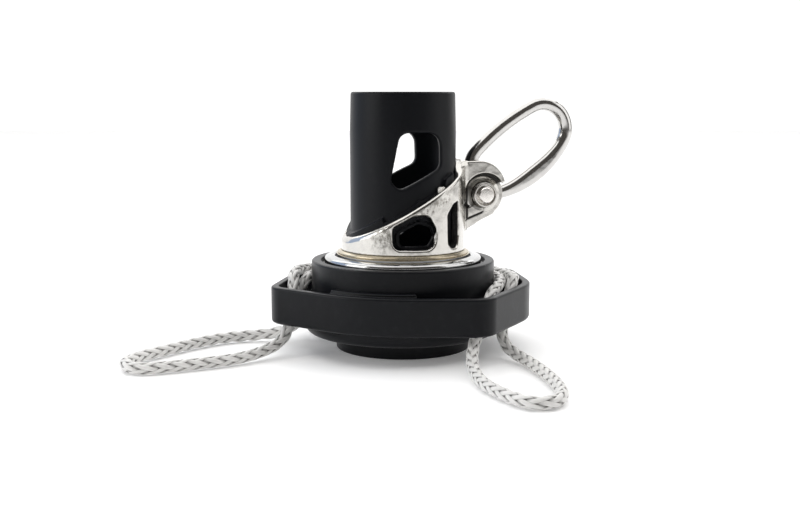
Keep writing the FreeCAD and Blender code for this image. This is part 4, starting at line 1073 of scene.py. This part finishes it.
field_piece("sleeve_moulding", "saddle", "black_sleeve", black_sleeve, sleeve_field,
            (-27.5, -27.5, 38.0), (27.5, 27.5, 120.6), 0.55, ["guide_sleeve"])
turned_piece("sleeve_foot", "saddle", "black_sleeve", black_sleeve, [
    (LUFF_BORE_R, 0.0, 0), (SLEEVE_R, 0.0, 0.4), (SLEEVE_R, SLEEVE_CUT_Z + 0.01, 0),
    (LUFF_BORE_R, SLEEVE_CUT_Z + 0.01, 0)], [])
field_piece("link_forging", "link", "polished_casting", polished_link, link_field,
            (27.0, -5.5, 62.0), (86.5, 5.5, 119.0), 0.4, ["halyard_link"])

# Pin and collars, as profiles of (r, y, corner radius)
pin_profile = soften([
    (0.002, -PIN_HALF, 0), (PIN_R - 0.5, -PIN_HALF, 0.25), (PIN_R, -PIN_HALF + 0.5, 0.25),
    (PIN_R, PIN_HALF - 0.5, 0.25), (PIN_R - 0.5, PIN_HALF, 0.25), (0.002, PIN_HALF, 0)], 4)
collar_profile = soften([
    (PIN_R + 0.03, BOSS_FACE_Y, 0), (COLLAR_R, BOSS_FACE_Y, 0), (COLLAR_R, COLLAR_OUT_Y, 0.5),
    (PIN_R + 1.1, COLLAR_OUT_Y, 0.15), (PIN_R + 0.85, COLLAR_OUT_Y - 1.3, 0),
    (PIN_R + 0.03, COLLAR_OUT_Y - 1.4, 0)])
add_piece("clevis_pin", "saddle", "stainless", pin_steel, *turned_on_pin(pin_profile, -1),
          ["shackle_pin"], sharp_degrees=40)
for end, side in (("front", -1), ("rear", 1)):
    add_piece("collar_" + end, "saddle", "stainless", collar_steel,
              *turned_on_pin(collar_profile, side), ["pin_collar_" + end], sharp_degrees=28)

for material, nodes in (
        (race_steel, ["lower_outer_race", "outer_race_spacer", "upper_outer_race",
                      "inner_race_sleeve", "upper_inner_race", "inner_spacer"]),
        (screw_steel, ["base_ring_screws", "top_circlip", "sleeve_retaining_ring"]),
        (ball_steel, ["lower_balls", "upper_balls"]),
        (cage_plastic, ["lower_ball_cage", "upper_ball_cage", "link_bush"]),
        (seal_rubber, ["lower_seal", "upper_seal"])):
    for node in nodes:
        dress(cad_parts[node], material)


def stage_sheet(name, corners, material):
    """Flat four-cornered sheet of the stage."""
    mesh = bpy.data.meshes.new(name)
    mesh.from_pydata(corners, [], [(0, 1, 2, 3)])
    sheet = in_scene(name, mesh)
    dress(sheet, material)
    return sheet


floor = stage_sheet("studio_floor", [(-6, -6, 0), (6, -6, 0), (6, 6, 0), (-6, 6, 0)],
                    pale_floor("studio_floor"))
floor.location = (0, 0, -0.00005)

# Camera as in the photo; everything of the stage is in metres
HEADING = math.radians(-15.7)
TILT = math.radians(8.5)


def from_camera(x, y, z):
    """Place given in the camera's own directions, turned into the object's frame."""
    return Vector((*turned_plan(HEADING, x, y), z))


lens = bpy.data.cameras.new("photo_camera")
lens.sensor_width = 36.0
lens.lens = 51.75
lens.clip_start = 0.01
lens.clip_end = 50.0
camera = in_scene("photo_camera", lens)
camera.location = (-0.1466, -0.5166, 0.1188)
back = from_camera(0, -math.cos(TILT), math.sin(TILT))
camera.rotation_euler = back.to_track_quat("Z", "Y").to_euler()
bpy.context.scene.camera = camera


def soft_light(name, place, target, width, height, power):
    """Rectangular soft light at place, facing target, in metres in the camera's own directions."""
    data = bpy.data.lights.new(name, "AREA")
    data.shape = "RECTANGLE"
    data.size, data.size_y = width, height
    data.energy = power
    light = in_scene(name, data)
    light.location = from_camera(*place)
    aim = from_camera(*target) - light.location
    light.rotation_euler = aim.to_track_quat("-Z", "Y").to_euler()


soft_light("top_softbox", (0.0, 0.1, 1.25), (0, 0.1, 0.0), 2.4, 1.7, 20.5)
soft_light("back_softbox", (0.0, 1.7, 1.5), (0, 1.4, 0.0), 4.0, 1.6, 24.0)
soft_light("left_softbox", (-1.1, -0.35, 0.42), (0, 0, 0.06), 0.75, 0.7, 5.4)
soft_light("right_softbox", (1.05, -0.1, 0.45), (0, 0, 0.06), 0.8, 0.8, 3.0)


def glow_card(name, place, turn, width, height, colour, strength):
    """Upright glowing card at place, in the camera's own directions, turned about the vertical."""
    x, y, z = from_camera(*place)
    u, v = turned_plan(HEADING + turn, width / 2, 0.0)
    glow = Paint(name).finish((0.0, 0.0, 0.0), 1.0, Emission_Strength=strength,
                              Emission_Color=colour, Specular_IOR_Level=0.0)
    return stage_sheet(name, [
        (x - u, y - v, z), (x + u, y + v, z), (x + u, y + v, z + height),
        (x - u, y - v, z + height)], glow)


glow_card("white_backdrop", (0.0, 3.2, -0.01), 0.0, 9.0, 3.5, (1.0, 1.0, 1.0), 1.3)
left_sky = glow_card("left_sky_card", (-2.1, 0.75, 0.0), math.radians(65), 1.7, 1.5,
                     (0.6, 0.74, 1.0), 0.9)
left_sky.visible_camera = False
world = bpy.data.worlds.new("studio")
world.use_nodes = True
sky = world.node_tree.nodes["Background"]
sky.inputs["Color"].default_value = (1.0, 0.93, 0.86, 1.0)
sky.inputs["Strength"].default_value = 0.1
bpy.context.scene.world = world
bpy.context.scene.view_settings.view_transform = "Standard"
